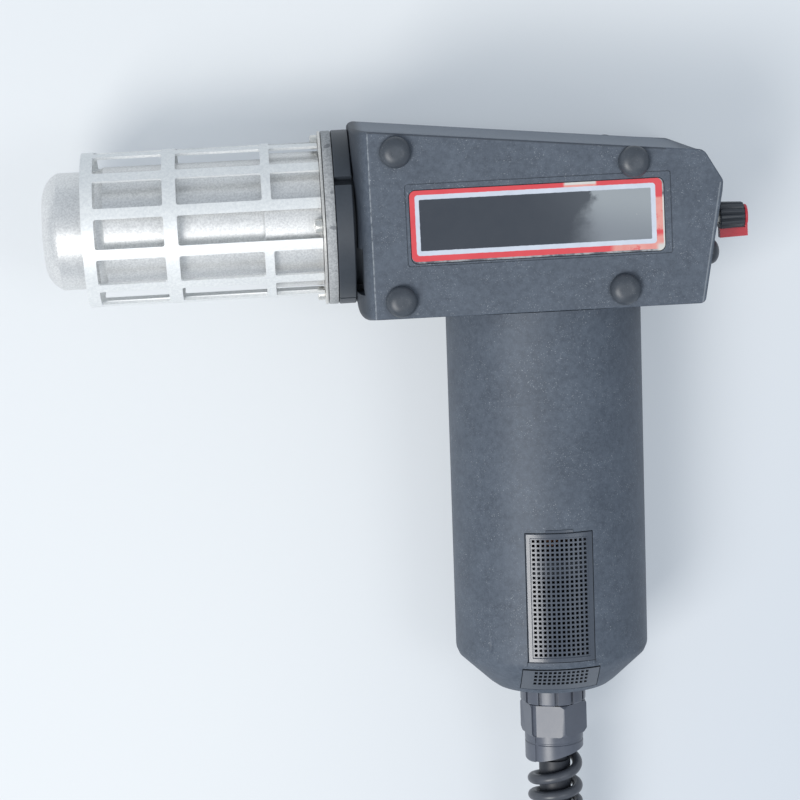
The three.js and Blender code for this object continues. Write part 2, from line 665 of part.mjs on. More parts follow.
function makeHeater() {
  const screwHole = FLANGE_SCREW_RADIUS + SEAT_GAP;
  const screwHoles = (from, to) => aroundFlange(() => rod(screwHole, from, to, 'x', 12)).map(solid);
  const tubeHole = TUBE_RADIUS + SEAT_GAP;
  const neck = solid(turned([[NECK_BORE, neckBack + NECK_SPIGOT_LENGTH], [NECK_BORE, tubeBack + SEAT_GAP],
    [tubeHole, tubeBack + SEAT_GAP], [tubeHole, neckFront], [NECK_RADIUS, neckFront], [NECK_RADIUS, neckBack],
    [NECK_SPIGOT_RADIUS, neckBack], [NECK_SPIGOT_RADIUS, neckBack + NECK_SPIGOT_LENGTH]], 'x'));
  add(tool, 'neck', cut(neck, screwHoles(neckFront - 1, neckBack - 0.6)), neckBlack);
  const gasket = solid(ring(tubeHole, FLANGE_RADIUS, gasketFront, gasketFront + GASKET_THICK, 'x'));
  add(tool, 'flange_gasket', cut(gasket, screwHoles(gasketFront - 1, neckFront)), fibre);
  const flange = solid(ring(tubeHole, FLANGE_RADIUS, flangeFront, flangeFront + FLANGE_THICK, 'x'));
  add(tool, 'heater_flange', cut(flange, screwHoles(flangeFront - 1, gasketFront)), satinSteel);
  const headBack = flangeFront - SEAT_GAP;
  const headFront = headBack - FLANGE_SCREW_PROUD;
  const screwEnd = neckFront + FLANGE_SCREW_REACH;
  const screwProfile = [[0, headFront], [FLANGE_SCREW_HEAD - 0.5, headFront],
    [FLANGE_SCREW_HEAD, headFront + 0.6], [FLANGE_SCREW_HEAD, headBack],
    [FLANGE_SCREW_RADIUS, headBack], [FLANGE_SCREW_RADIUS, screwEnd], [0, screwEnd]];
  aroundFlange(() => turned(screwProfile, 'x', SMALL_ROUND))
    .forEach((screw, i) => add(tool, `flange_screw_${i + 1}`, screw, brightScrew));

  add(tool, 'heater_tube', heaterTube(), satinSteel);
  const noseBore = NOSE_RADIUS - TUBE_WALL;
  const sleeveOuter = noseBore - SEAT_GAP;
  add(tool, 'mica_sleeve', ring(sleeveOuter - SLEEVE_WALL, sleeveOuter, SLEEVE_FRONT, CORE_BACK, 'x'), mica);
  const coreRadius = sleeveOuter - SLEEVE_WALL - SEAT_GAP;
  const channels = [solid(rod(CORE_BORE, CORE_FRONT - 1, CORE_BACK + 1, 'x'))];
  for (let i = 0; i < CORE_CHANNELS; i++) {
    const channel = rod(CORE_CHANNEL_RADIUS, CORE_FRONT - 1, CORE_BACK + 1, 'x', 12);
    channels.push(solid(channel.translate(0, 0, CORE_CHANNEL_CIRCLE).rotateX(2 * Math.PI * i / CORE_CHANNELS)));
  }
  add(tool, 'ceramic_core', cut(solid(rod(coreRadius, CORE_FRONT, CORE_BACK, 'x', ROUND)), channels), ceramic);
  add(tool, 'heating_element', heatingElement(), heaterWire);
  add(tool, 'guard_cage', guardCage(), paleAlloy);
}

function heaterTube() {
  const bore = TUBE_RADIUS - TUBE_WALL;
  const noseBore = NOSE_RADIUS - TUBE_WALL;
  const profile = [[TUBE_LIP, TUBE_TIP]];
  for (let i = 0; i <= 3; i++) {
    const angle = Math.PI / 2 * i / 3;
    const radius = NOSE_RADIUS - TUBE_ROUND + TUBE_ROUND * Math.sin(angle);
    profile.push([radius, TUBE_TIP + TUBE_ROUND * (1 - Math.cos(angle))]);
  }
  const collarBack = flangeFront - SEAT_GAP;
  profile.push([NOSE_RADIUS, NOSE_END], [TUBE_RADIUS, NOSE_END + NOSE_SHOULDER],
    [TUBE_RADIUS, collarBack - COLLAR_LENGTH], [COLLAR_RADIUS, collarBack - COLLAR_LENGTH],
    [COLLAR_RADIUS, collarBack], [TUBE_RADIUS, collarBack], [TUBE_RADIUS, tubeBack],
    [bore, tubeBack], [bore, NOSE_END + NOSE_SHOULDER], [noseBore, NOSE_END],
    [noseBore, TUBE_TIP + TUBE_ROUND], [NOSE_RADIUS - TUBE_ROUND, TUBE_TIP + TUBE_WALL],
    [TUBE_LIP, TUBE_TIP + TUBE_WALL]);
  return turned(profile, 'x', LARGE_ROUND);
}

// One heating wire wound inside the core's middle bore
function heatingElement() {
  const length = CORE_BACK - CORE_FRONT - 8;
  const turns = Math.floor((length - 4 * ELEMENT_WIRE) / ELEMENT_PITCH);
  const points = [];
  const lead = 2 * ELEMENT_WIRE;
  const start = CORE_FRONT + 4;
  points.push(new THREE.Vector3(start, ELEMENT_RADIUS, 0), new THREE.Vector3(start + lead, ELEMENT_RADIUS, 0));
  for (let i = 1; i < turns * SPIRAL_STEPS; i++) {
    const angle = 2 * Math.PI * i / SPIRAL_STEPS;
    const x = start + lead + ELEMENT_PITCH * i / SPIRAL_STEPS;
    points.push(new THREE.Vector3(x, ELEMENT_RADIUS * Math.cos(angle), ELEMENT_RADIUS * Math.sin(angle)));
  }
  const end = start + lead + ELEMENT_PITCH * turns;
  points.push(new THREE.Vector3(end, ELEMENT_RADIUS, 0), new THREE.Vector3(end + lead, ELEMENT_RADIUS, 0));
  return swept(points, ELEMENT_WIRE, SPIRAL_SIDES);
}

// Sheet metal cage: a tube with windows between parallel-sided bars, missing one length of its rear ring
function guardCage() {
  const end = flangeFront - SEAT_GAP;
  const sheet = solid(ring(CAGE_RADIUS - CAGE_SHEET, CAGE_RADIUS, FRONT_RING[0], end, 'x', 3 * CAGE_BARS));
  const half = Math.PI / CAGE_BARS;
  const apex = BAR_WIDTH / 2 / Math.sin(half);
  const reach = CAGE_RADIUS + 10;
  const wedge = [new THREE.Vector2(apex, 0),
    new THREE.Vector2(apex + reach * Math.cos(half), -reach * Math.sin(half)),
    new THREE.Vector2(apex + reach * Math.cos(half), reach * Math.sin(half))];
  const windows = [];
  for (let i = 0; i < CAGE_BARS; i++) {
    const angle = THREE.MathUtils.degToRad(BAR_ANGLE) + half * (2 * i - 1);
    const bays = i === 0
      ? [[FRONT_RING[1], MID_RING[0]], [MID_RING[1], end + 1]]
      : [[FRONT_RING[1], MID_RING[0]], [MID_RING[1], REAR_RING[0]], [REAR_RING[1], end + 1]];
    for (const [from, to] of bays) {
      const cutter = extruded(wedge, from, to).rotateY(Math.PI / 2).rotateX(angle - Math.PI);
      windows.push(solid(cutter));
    }
  }
  return cut(sheet, windows);
}

// Direction down the handle's chamfer, as radius and height
const chamferSlope = new THREE.Vector2(CHAMFER_RADIUS - HANDLE_RADIUS, CHAMFER_END - CHAMFER_START);
chamferSlope.normalize();

// Handle parts are drawn about their own upright axis, and the group leans them
function handleTube() {
  const bore = HANDLE_RADIUS - HANDLE_WALL;
  const hole = GLAND_SHANK + SEAT_GAP;
  const floor = HANDLE_END + FLOOR_THICK;
  const boreEnd = CHAMFER_START - HANDLE_WALL * (1 + chamferSlope.y) / chamferSlope.x;
  const floorReach = HANDLE_WALL + (floor - CHAMFER_START) * chamferSlope.x;
  const floorRadius = HANDLE_RADIUS + floorReach / chamferSlope.y;
  const tube = solid(turned([[bore, HANDLE_TOP], [HANDLE_RADIUS, HANDLE_TOP], [HANDLE_RADIUS, CHAMFER_START],
    [CHAMFER_RADIUS, CHAMFER_END], [END_FACE_RADIUS, HANDLE_END], [hole, HANDLE_END], [hole, floor],
    [floorRadius, floor], [bore, boreEnd]], 'y', LARGE_ROUND));
  const head = headSolid(SEAT_GAP, 0).rotateZ(lean);
  const upper = solid(head);
  const trimmed = cut(tube, [upper, upper.mirror([0, 0, 1])]);
  const outer = block(COVER.left - SEAT_GAP, COVER.right + SEAT_GAP, COVER.bottom - SEAT_GAP,
    COVER.top + SEAT_GAP, 0, HANDLE_RADIUS + OVERCUT);
  const behind = rod(HANDLE_RADIUS - COVER.thick - SEAT_GAP, CHAMFER_END, HANDLE_TOP, 'y', LARGE_ROUND);
  const seat = solid(outer).subtract(solid(behind));
  const through = solid(block(COVER.left + COVER.ledge, COVER.right - COVER.ledge, COVER.bottom + COVER.ledge,
    COVER.top - COVER.ledge, OVERCUT, HANDLE_RADIUS + OVERCUT));
  const grilleSeat = endGrilleBody(SEAT_GAP, END_GRILLE.thick + SEAT_GAP);
  return cut(trimmed, [seat, through, grilleSeat]);
}

// Slab that follows the chamfer to a depth, grown on its other sides by a clearance
function endGrilleBody(grow, depth) {
  const normal = new THREE.Vector2(chamferSlope.y, -chamferSlope.x);
  const down = new THREE.Vector2(HANDLE_RADIUS, CHAMFER_START);
  const at = (along, into) => {
    const p = down.clone().addScaledVector(chamferSlope, along).addScaledVector(normal, into);
    return [p.x, p.y];
  };
  const alongAt = (y) => (y - CHAMFER_START) / chamferSlope.y;
  const [start, end] = [alongAt(END_GRILLE.top + grow), alongAt(END_GRILLE.bottom - grow)];
  const rise = grow > 0 ? -OVERCUT : 0;
  const cone = turned([at(start, rise), at(end, rise), at(end, depth), at(start, depth)], 'y', LARGE_ROUND);
  const half = END_GRILLE.half + grow;
  const front = block(-half, half, CHAMFER_END - OVERCUT, CHAMFER_START + OVERCUT,
    OVERCUT, HANDLE_RADIUS + OVERCUT);
  return solid(cone).intersect(solid(front));
}

function filterCover() {
  const { left, right, top, bottom, thick } = COVER;
  const shell = solid(ring(HANDLE_RADIUS - thick, HANDLE_RADIUS + COVER.proud, bottom, top, 'y', LARGE_ROUND));
  const front = HANDLE_RADIUS + OVERCUT;
  const body = shell.intersect(solid(block(left, right, bottom - 1, top + 1, OVERCUT, front)));
  const holes = [];
  const pitchX = (right - left - 2 * COVER_RIM + COVER_BAR) / COVER_COLUMNS;
  const pitchY = (top - bottom - 2 * COVER_RIM + COVER_BAR) / COVER_ROWS;
  for (let i = 0; i < COVER_COLUMNS; i++) {
    for (let j = 0; j < COVER_ROWS; j++) {
      const x = left + COVER_RIM + i * pitchX;
      const y = bottom + COVER_RIM + j * pitchY;
      holes.push(solid(block(x, x + pitchX - COVER_BAR, y, y + pitchY - COVER_BAR, OVERCUT, front)));
    }
  }
  return cut(body, holes);
}

function endGrille() {
  const slots = [];
  const { half, top, bottom, rim, edge } = END_GRILLE;
  const pitch = 2 * (half - rim) / END_GRILLE_SLOTS;
  for (let i = 0; i < END_GRILLE_SLOTS; i++) {
    const x = -half + rim + (i + 0.5) * pitch;
    slots.push(solid(block(x - END_GRILLE_SLOT / 2, x + END_GRILLE_SLOT / 2, bottom + edge, top - edge,
      OVERCUT, HANDLE_RADIUS + OVERCUT)));
  }
  return cut(endGrilleBody(0, END_GRILLE.thick), slots);
}

function makeHandle() {
  add(handle, 'handle_tube', handleTube(), casing);
  add(handle, 'filter_cover', filterCover(), grilleBlack);
  add(handle, 'end_grille', endGrille(), grilleBlack);
  const spigot = HANDLE_RADIUS - HANDLE_WALL - SEAT_GAP;
  add(handle, 'joining_ring', turned([[RING_RADIUS - RING_WALL, RING_TOP], [RING_RADIUS, RING_TOP],
    [RING_RADIUS, RING_SHOULDER], [spigot, RING_SHOULDER], [spigot, RING_BOTTOM],
    [RING_RADIUS - RING_WALL, RING_BOTTOM]]), casing);
}

function endBell(top) {
  const rim = HANDLE_RADIUS - HANDLE_WALL - SEAT_GAP;
  const hub = BEARING_RADIUS + SEAT_GAP;
  const parts = [solid(ring(hub, hub + 3, top - BELL_THICK, top))];
  for (let i = 0; i < BELL_SPOKES; i++) {
    const spoke = block(hub + 1, rim - BELL_RIM + 1, top - BELL_THICK, top, -BELL_SPOKE / 2, BELL_SPOKE / 2);
    parts.push(solid(spoke.rotateY(2 * Math.PI * i / BELL_SPOKES)));
  }
  return joined(solid(ring(rim - BELL_RIM, rim, top - BELL_THICK, top)), parts);
}

function makeMotor() {
  const fieldBottom = FIELD_TOP - FIELD_LENGTH;
  const posts = [];
  const upperSeat = UPPER_BELL - BELL_THICK - SEAT_GAP;
  for (let i = 0; i < MOTOR_POSTS; i++) {
    const post = rod(POST_RADIUS, LOWER_BELL + SEAT_GAP, upperSeat, 'y').translate(POST_CIRCLE - 3, 0, 0);
    posts.push(solid(post.rotateY(2 * Math.PI * i / MOTOR_POSTS)));
  }
  const waist = FIELD_BORE + WINDING_WALL;
  const core = solid(ring(waist + SEAT_GAP, FIELD_RADIUS, fieldBottom, FIELD_TOP));
  add(handle, 'field_core', joined(core, posts), laminations);
  const [windingTop, windingBottom] = [FIELD_TOP + SEAT_GAP, fieldBottom - SEAT_GAP];
  const [spoolTop, spoolBottom] = [windingTop + WINDING_HEIGHT, windingBottom - WINDING_HEIGHT];
  add(handle, 'field_winding', turned([[FIELD_BORE, spoolTop], [WINDING_RADIUS, spoolTop],
    [WINDING_RADIUS, windingTop], [waist, windingTop], [waist, windingBottom], [WINDING_RADIUS, windingBottom],
    [WINDING_RADIUS, spoolBottom], [FIELD_BORE, spoolBottom]]), copper);
  add(handle, 'end_bell_upper', endBell(UPPER_BELL), casing);

  const shaftHole = SHAFT_RADIUS + SEAT_GAP;
  for (const [name, top] of [['upper', UPPER_BELL], ['lower', LOWER_BELL]]) {
    const bearing = ring(SHAFT_RADIUS + BEARING_GAP, BEARING_RADIUS, top - BELL_THICK, top);
    add(handle, `bearing_${name}`, bearing, satinSteel);
  }
  add(handle, 'motor_shaft', rod(SHAFT_RADIUS, SHAFT_BOTTOM, SHAFT_TOP, 'y', ROUND), brightScrew);

  const slots = [];
  for (let i = 0; i < ARMATURE_SLOTS; i++) {
    const slot = block(ARMATURE_RADIUS - 5, ARMATURE_RADIUS + 1, fieldBottom - 1, FIELD_TOP + 1, -0.9, 0.9);
    slots.push(solid(slot.rotateY(2 * Math.PI * i / ARMATURE_SLOTS)));
  }
  const armature = ring(shaftHole, ARMATURE_RADIUS, fieldBottom, FIELD_TOP, 'y', 2 * ARMATURE_SLOTS);
  add(handle, 'armature_core', cut(solid(armature), slots), laminations);
  const { top, length, radius } = COMMUTATOR;
  add(handle, 'commutator', ring(shaftHole, radius, top - length, top, 'y', ROUND), copper);

  const blades = [];
  const { hub, plate, blade } = IMPELLER;
  for (let i = 0; i < IMPELLER.blades; i++) {
    const one = block(hub - 1, IMPELLER.radius - 0.5, IMPELLER.bottom + plate - 0.5, IMPELLER.top,
      -blade / 2, blade / 2);
    blades.push(solid(one.rotateY(2 * Math.PI * i / IMPELLER.blades)));
  }
  const disc = solid(ring(shaftHole, IMPELLER.radius, IMPELLER.bottom, IMPELLER.bottom + plate));
  const boss = solid(ring(shaftHole, hub, IMPELLER.bottom, IMPELLER.top, 'y', ROUND));
  add(handle, 'impeller', joined(disc, [boss, ...blades]), knobBlack);

  const middle = top - length / 2;
  const bellTop = LOWER_BELL;
  const holders = [];
  for (const [name, sign] of [['left', -1], ['right', 1]]) {
    const inner = radius + SLIDE_GAP;
    const width = BRUSH.width / 2;
    const stick = block(inner, inner + BRUSH.length, middle - width, middle + width, -width, width);
    add(handle, `brush_${name}`, stick.scale(sign, 1, 1), carbon);
    const grow = width + SEAT_GAP;
    const outer = block(inner + 2, inner + BRUSH.reach, bellTop - 1, middle + grow + BRUSH.holder,
      -grow - BRUSH.holder, grow + BRUSH.holder);
    const hole = block(inner, inner + BRUSH.length + SEAT_GAP, middle - grow, middle + grow, -grow, grow);
    holders.push(solid(outer.scale(sign, 1, 1)).subtract(solid(hole.scale(sign, 1, 1))));
  }
  add(handle, 'end_bell_lower', joined(endBell(LOWER_BELL), holders), casing);
}

// Places along the handle axis below its end face
const collarTop = HANDLE_END - SEAT_GAP;
const hexTop = collarTop - GLAND_COLLAR_LENGTH - SEAT_GAP;
const hexBottom = hexTop - GLAND_HEX_LENGTH;
const glandEnd = hexBottom - GLAND_TAIL_LENGTH;

function makeGland() {
  const inside = HANDLE_END + FLOOR_THICK;
  const collarEnd = collarTop - GLAND_COLLAR_LENGTH;
  const body = solid(turned([[GLAND_BORE, inside + LOCK_NUT + 3], [GLAND_SHANK, inside + LOCK_NUT + 3],
    [GLAND_SHANK, collarTop], [GLAND_COLLAR_RADIUS, collarTop], [GLAND_COLLAR_RADIUS, collarEnd],
    [GLAND_BORE, collarEnd]]));
  const notches = [];
  for (let i = 0; i < GLAND_NOTCHES; i++) {
    const notch = block(GLAND_COLLAR_RADIUS - 1.2, GLAND_COLLAR_RADIUS + 1, collarEnd - 1, collarTop - 1.4,
      -0.7, 0.7);
    notches.push(solid(notch.rotateY(2 * Math.PI * i / GLAND_NOTCHES)));
  }
  add(handle, 'gland_body', cut(body, notches), glandBlack);
  const lockHex = solid(rod(LOCK_NUT_RADIUS, inside + SEAT_GAP, inside + SEAT_GAP + LOCK_NUT, 'y', 6));
  const lockBore = solid(rod(GLAND_SHANK + SEAT_GAP, inside - 1, inside + LOCK_NUT + 2, 'y', ROUND));
  add(handle, 'gland_lock_nut', lockHex.subtract(lockBore), glandBlack);
  const corner = GLAND_NUT_FLATS / 2 / Math.cos(Math.PI / 6);
  const hex = turned([[0, hexTop], [corner, hexTop], [corner, hexBottom - 0.2], [0, hexBottom - 0.2]], 'y', 6);
  hex.rotateY(THREE.MathUtils.degToRad(GLAND_NUT_TURN));
  const nutRound = solid(turned([[0, hexTop], [corner - 0.5, hexTop], [corner, hexTop - 1],
    [corner, hexBottom + 1], [corner - 0.6, hexBottom - 0.2], [0, hexBottom - 0.2]]));
  const tail = solid(turned([[0, hexBottom], [GLAND_TAIL_RADIUS, hexBottom], [GLAND_TAIL_RADIUS, glandEnd + 1],
    [GLAND_TAIL_RADIUS - 1, glandEnd], [0, glandEnd]]));
  const bore = solid(rod(GLAND_BORE, glandEnd - 1, hexTop + 1, 'y', ROUND));
  add(handle, 'gland_nut', solid(hex).intersect(nutRound).add(tail).subtract(bore), glandBlack);
}

// Kink spiral: out of the gland straight, then round the sleeve
function kinkSpiral() {
  const start = glandEnd - SEAT_GAP;
  const lead = 2 * SPIRAL_WIRE;
  const turns = (KINK_LENGTH - 2 * lead - SPIRAL_PITCH) / SPIRAL_PITCH;
  const steps = Math.round(turns * SPIRAL_STEPS);
  const points = [new THREE.Vector3(0, start, SPIRAL_RADIUS), new THREE.Vector3(0, start - lead, SPIRAL_RADIUS)];
  const wind = (angle, y) => points.push(
    new THREE.Vector3(-SPIRAL_RADIUS * Math.sin(angle), y, SPIRAL_RADIUS * Math.cos(angle)));
  const step = 2 * Math.PI / SPIRAL_STEPS;
  wind(step * 0.55, start - lead - SPIRAL_PITCH * 0.3);
  for (let i = 1; i <= steps; i++) {
    wind(step * (i + 0.55), start - lead - SPIRAL_PITCH * (0.3 + (i + 0.55) / SPIRAL_STEPS));
  }
  const last = points.at(-1);
  const endAngle = step * (steps + 1.1);
  wind(endAngle, last.y - SPIRAL_PITCH * 0.4);
  wind(endAngle, last.y - SPIRAL_PITCH * 0.4 - lead);
  return points;
}

function makeKink() {
  const start = glandEnd - SEAT_GAP;
  const bore = CORD_RADIUS + SLIDE_GAP;
  const end = start - KINK_LENGTH;
  add(handle, 'kink_sleeve', turned([[bore, start], [KINK_SLEEVE_RADIUS, start], [KINK_SLEEVE_RADIUS, end + 6],
    [bore + 1, end], [bore, end]], 'y', 2 * SMALL_ROUND), cordBlack);
  const points = kinkSpiral();
  add(handle, 'kink_spiral', swept(points, SPIRAL_WIRE, SPIRAL_SIDES), cordBlack);
  console.log('kink spiral least gap', leastGap(points, SPIRAL_WIRE, SPIRAL_STEPS - 2).toFixed(2));
}

makeHead();
makeControls();
makeHeater();
makeHandle();
makeMotor();
makeGland();

// The tool rests on its two lower bumpers and the edge of the handle's chamfer
const restDrop = HEAD_HALF + BUMPER_HEIGHT - HANDLE_RADIUS;
const restSpan = BUMPERS[1][1] - CHAMFER_START;
tool.rotation.x = Math.atan2(restDrop, restSpan);
tool.updateMatrixWorld(true);
const footprint = new THREE.Box3().setFromObject(tool, true);
const middle = footprint.getCenter(new THREE.Vector3());
tool.position.set(-middle.x, -middle.y, -footprint.min.z);
makeKink();
welder.updateMatrixWorld(true);

// Cord route: down from the kink sleeve to the surface, then the coil, then the plug
const exit = handle.localToWorld(new THREE.Vector3(0, glandEnd - SEAT_GAP, 0));
const sleeveEnd = handle.localToWorld(new THREE.Vector3(0, glandEnd - KINK_LENGTH - 4, 0));
const bendStart = handle.localToWorld(new THREE.Vector3(0, glandEnd - KINK_LENGTH - 16, 0));
const coilStart = new THREE.Vector3(bendStart.x - 2, bendStart.y - COIL_FALL, CORD_RADIUS);
const coilCentre = new THREE.Vector3(coilStart.x - COIL_OUTER, coilStart.y, 0);

function coilPoints() {
  const points = [];
  const straight = 2 * CORD_RADIUS;
  points.push(new THREE.Vector3(coilStart.x, coilStart.y + straight, CORD_RADIUS));
  const total = COIL_TURNS * COIL_STEPS;
  const climb = COIL_STEPS / 2;
  for (let i = 0; i <= total; i++) {
    const angle = -2 * Math.PI * i / COIL_STEPS;
    const radius = COIL_OUTER - COIL_PITCH * Math.min(i, total - i) / COIL_STEPS;
    const up = THREE.MathUtils.smoothstep(i, (total - climb) / 2, (total + climb) / 2);
    points.push(new THREE.Vector3(
      coilCentre.x + radius * Math.cos(angle), coilCentre.y + radius * Math.sin(angle),
      CORD_RADIUS + COIL_PITCH * up));
  }
  const end = points.at(-1);
  points.push(new THREE.Vector3(end.x, end.y + straight, end.z));
  return points;
}

function cordTube(points, steps) {
  const curve = new THREE.CatmullRomCurve3(points, false, 'centripetal');
  const section = new THREE.Shape();
  for (let k = 0; k < CORD_SECTION_SIDES; k++) {
    const angle = 2 * Math.PI * (k + 0.5) / CORD_SECTION_SIDES;
    const method = k === 0 ? 'moveTo' : 'lineTo';
    section[method](CORD_RADIUS * Math.cos(angle), CORD_RADIUS * Math.sin(angle));
  }
  const settings = { steps, extrudePath: curve, bevelEnabled: false, curveSegments: 1 };
  return new THREE.ExtrudeGeometry(section, settings);
}

function makeCord() {
  const coil = coilPoints();
  add(loose, 'cord_coil', swept(coil, CORD_RADIUS, COIL_SIDES), cordBlack);
  console.log('cord coil least gap', leastGap(coil, CORD_RADIUS, COIL_STEPS / 2).toFixed(2));
  const meet = coil[0].clone();
  meet.y += SEAT_GAP;
  const lead = [exit, sleeveEnd.clone().lerp(exit, 0.5), sleeveEnd, bendStart,
    new THREE.Vector3(bendStart.x - 0.5, bendStart.y - 24, bendStart.z - 6),
    new THREE.Vector3(meet.x + 1.2, meet.y + 40, meet.z + 8),
    new THREE.Vector3(meet.x + 0.3, meet.y + 20, meet.z + 1.2), meet];
  add(loose, 'cord_lead', cordTube(lead, 22), cordBlack);

  const leave = coil.at(-1).clone();
  leave.y += SEAT_GAP;
  const plugEntry = new THREE.Vector3(leave.x, leave.y + 44, PLUG_RADIUS);
  const tail = [leave, new THREE.Vector3(leave.x, leave.y + 10, leave.z),
    new THREE.Vector3(leave.x, leave.y + 32, PLUG_RADIUS),
    new THREE.Vector3(leave.x, plugEntry.y - SEAT_GAP, PLUG_RADIUS)];
  add(loose, 'cord_tail', cordTube(tail, 6), cordBlack);
  const body = turned([[0, 0], [PLUG_NECK_RADIUS - 1.5, 0], [PLUG_NECK_RADIUS, PLUG_NECK_LENGTH],
    [PLUG_RADIUS, PLUG_NECK_LENGTH + PLUG_SHOULDER], [PLUG_RADIUS, PLUG_NECK_LENGTH + PLUG_LENGTH],
    [0, PLUG_NECK_LENGTH + PLUG_LENGTH]]);
  body.translate(plugEntry.x, plugEntry.y, plugEntry.z);
  const face = plugEntry.y + PLUG_NECK_LENGTH + PLUG_LENGTH;
  const root = face - PIN_ROOT;
  const pinPair = (radius, from, to) => [-1, 1].map((sign) =>
    solid(rod(radius, from, to, 'y', 12).translate(plugEntry.x + sign * PIN_SPACING / 2, 0, plugEntry.z)));
  const bridge = (grow) => {
    const [wide, thick] = [PIN_SPACING / 2 + grow, PIN_BRIDGE / 2 + grow];
    return solid(block(plugEntry.x - wide, plugEntry.x + wide, root - grow, root + PIN_BRIDGE + grow,
      plugEntry.z - thick, plugEntry.z + thick));
  };
  const sockets = [...pinPair(PIN_RADIUS + SEAT_GAP, root - SEAT_GAP, face + 1), bridge(SEAT_GAP)];
  add(loose, 'plug_pins', joined(bridge(0), pinPair(PIN_RADIUS, root, face + PIN_LENGTH)), brightScrew);
  add(loose, 'plug_body', cut(solid(body), sockets), cordBlack);
}

makeCord();

export default welder;
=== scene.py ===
"""Hot air plastic welder lying on its side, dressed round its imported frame.

Sizes are millimetres in the tool's own axes: the origin is where the heater axis crosses the
handle axis, -X points to the nozzle, -Y down the handle and +Z out of the right side.
"""
import json
import math

import bmesh
import bpy
from mathutils import Matrix, Vector


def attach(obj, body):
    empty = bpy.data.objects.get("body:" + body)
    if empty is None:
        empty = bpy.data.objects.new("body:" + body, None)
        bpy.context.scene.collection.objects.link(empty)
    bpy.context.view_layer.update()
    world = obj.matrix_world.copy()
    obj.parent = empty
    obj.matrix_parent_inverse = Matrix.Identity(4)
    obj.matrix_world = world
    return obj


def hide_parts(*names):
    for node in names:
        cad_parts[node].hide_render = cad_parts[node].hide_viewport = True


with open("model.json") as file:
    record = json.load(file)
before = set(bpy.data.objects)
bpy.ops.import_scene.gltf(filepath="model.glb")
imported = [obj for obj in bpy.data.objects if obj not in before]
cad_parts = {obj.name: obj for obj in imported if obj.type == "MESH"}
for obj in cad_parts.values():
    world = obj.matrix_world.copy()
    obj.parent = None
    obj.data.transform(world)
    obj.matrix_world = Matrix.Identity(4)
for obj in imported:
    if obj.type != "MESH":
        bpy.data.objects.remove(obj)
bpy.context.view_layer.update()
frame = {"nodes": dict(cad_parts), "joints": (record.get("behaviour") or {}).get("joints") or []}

# Places of the tool and its leaning handle, read from the joints
MM = 0.001
JOINTS = {joint["name"]: joint for joint in frame["joints"]}
KNOB_AXIS = Vector((75, -8, 0))
PULL = JOINTS["filter_pull"]["axis"]
SPIN = JOINTS["rotor_spin"]["axis"]
REST_TILT = math.atan2(-PULL[1], PULL[2])
HANDLE_LEAN = math.asin(-SPIN[0])
TURN = Matrix.Rotation(REST_TILT, 4, "X")
ORIGIN = Vector(JOINTS["knob_turn"]["pos_m"]) - TURN @ (KNOB_AXIS * MM)
TOOL = Matrix.Translation(ORIGIN) @ TURN @ Matrix.Scale(MM, 4)
HANDLE = TOOL @ Matrix.Rotation(-HANDLE_LEAN, 4, "Z")
WORLD = Matrix.Scale(MM, 4)
MIRROR_Z = Matrix.Diagonal((1, 1, -1, 1))

# Photograph's camera, set in the tool's axes
PHOTO_SIDE = 800
PHOTO_SCALE = 0.40
CAMERA_DISTANCE = 1000
CAMERA_TILT_Y = 9.0
CAMERA_TILT_X = -2.5
CAMERA_ROLL = 2.9
ORIGIN_PIXEL = (540, 206)
SENSOR_WIDTH = 36

# Head
HEAD_HALF = 42
HEAD_WALL = 3
HEAD_FRONT = -75.2
HEAD_BOTTOM = -41.8
PARTING = [(HEAD_FRONT, HEAD_BOTTOM, 10), (65.2, HEAD_BOTTOM, 1.5), (74, 4, 5),
           (65.5, 18.8, 5), (50.5, 24.2, 12), (HEAD_FRONT, 37.8, 2)]
PANEL = [(-68.9, -36.8, 1.2), (58.1, -37.2, 2), (66.4, 9.4, 3),
         (59.3, 21.5, 4), (44, 23, 8), (-68.8, 34.9, 1.5)]
PANEL_TOP_SLOPE = 0.1054
PANEL_REAR_SLOPE = 0.178
NOSE_WALL_POWER = 6
BUMPERS = [(-58.9, 26.9), (-59.2, -30.3), (32.3, 18.6), (27.3, -30.2)]
BUMPER_RADIUS = 6.1
BUMPER_STEM = 4
SEAT = 0.3
NECK_SPIGOT = 29
HANDLE_MOUTH = 32.9
NOSE_RECESS = (-28, -10, 14, 40.2)
REAR_END = 74
PLATE_BOX = (-54.4, 43.4, -16.1, 11.9)
PLATE_CORNER = 2.4
PLATE_GROOVE = (-55.9, 46.2, -17.1, 14.4)

# Handle and cord
HANDLE_RADIUS = 39.2
HANDLE_WALL = 3
CHAMFER_START = -180.5
CHAMFER_END = -192.6
CHAMFER_RADIUS = 26.4
HANDLE_END = -194.4
END_RADIUS = 24
COVER_BOX = (-13.2, 13.2, -177.6, -125.6)
STRIP_TOP, STRIP_BOTTOM, STRIP_HALF = -181.2, -192, 15.3
GLAND_COLLAR = (-194.7, -203.1)
GLAND_HEX = (-203.4, -216.4)
GLAND_END = -228.4
HEX_HALF = 12
HEX_TURN = 13.6 - 30
TAIL_SLANT = 13
BORE = 5.2
SLEEVE_START = GLAND_END - 0.3
SLEEVE_LENGTH = 62
CORD_RADIUS = 4.75


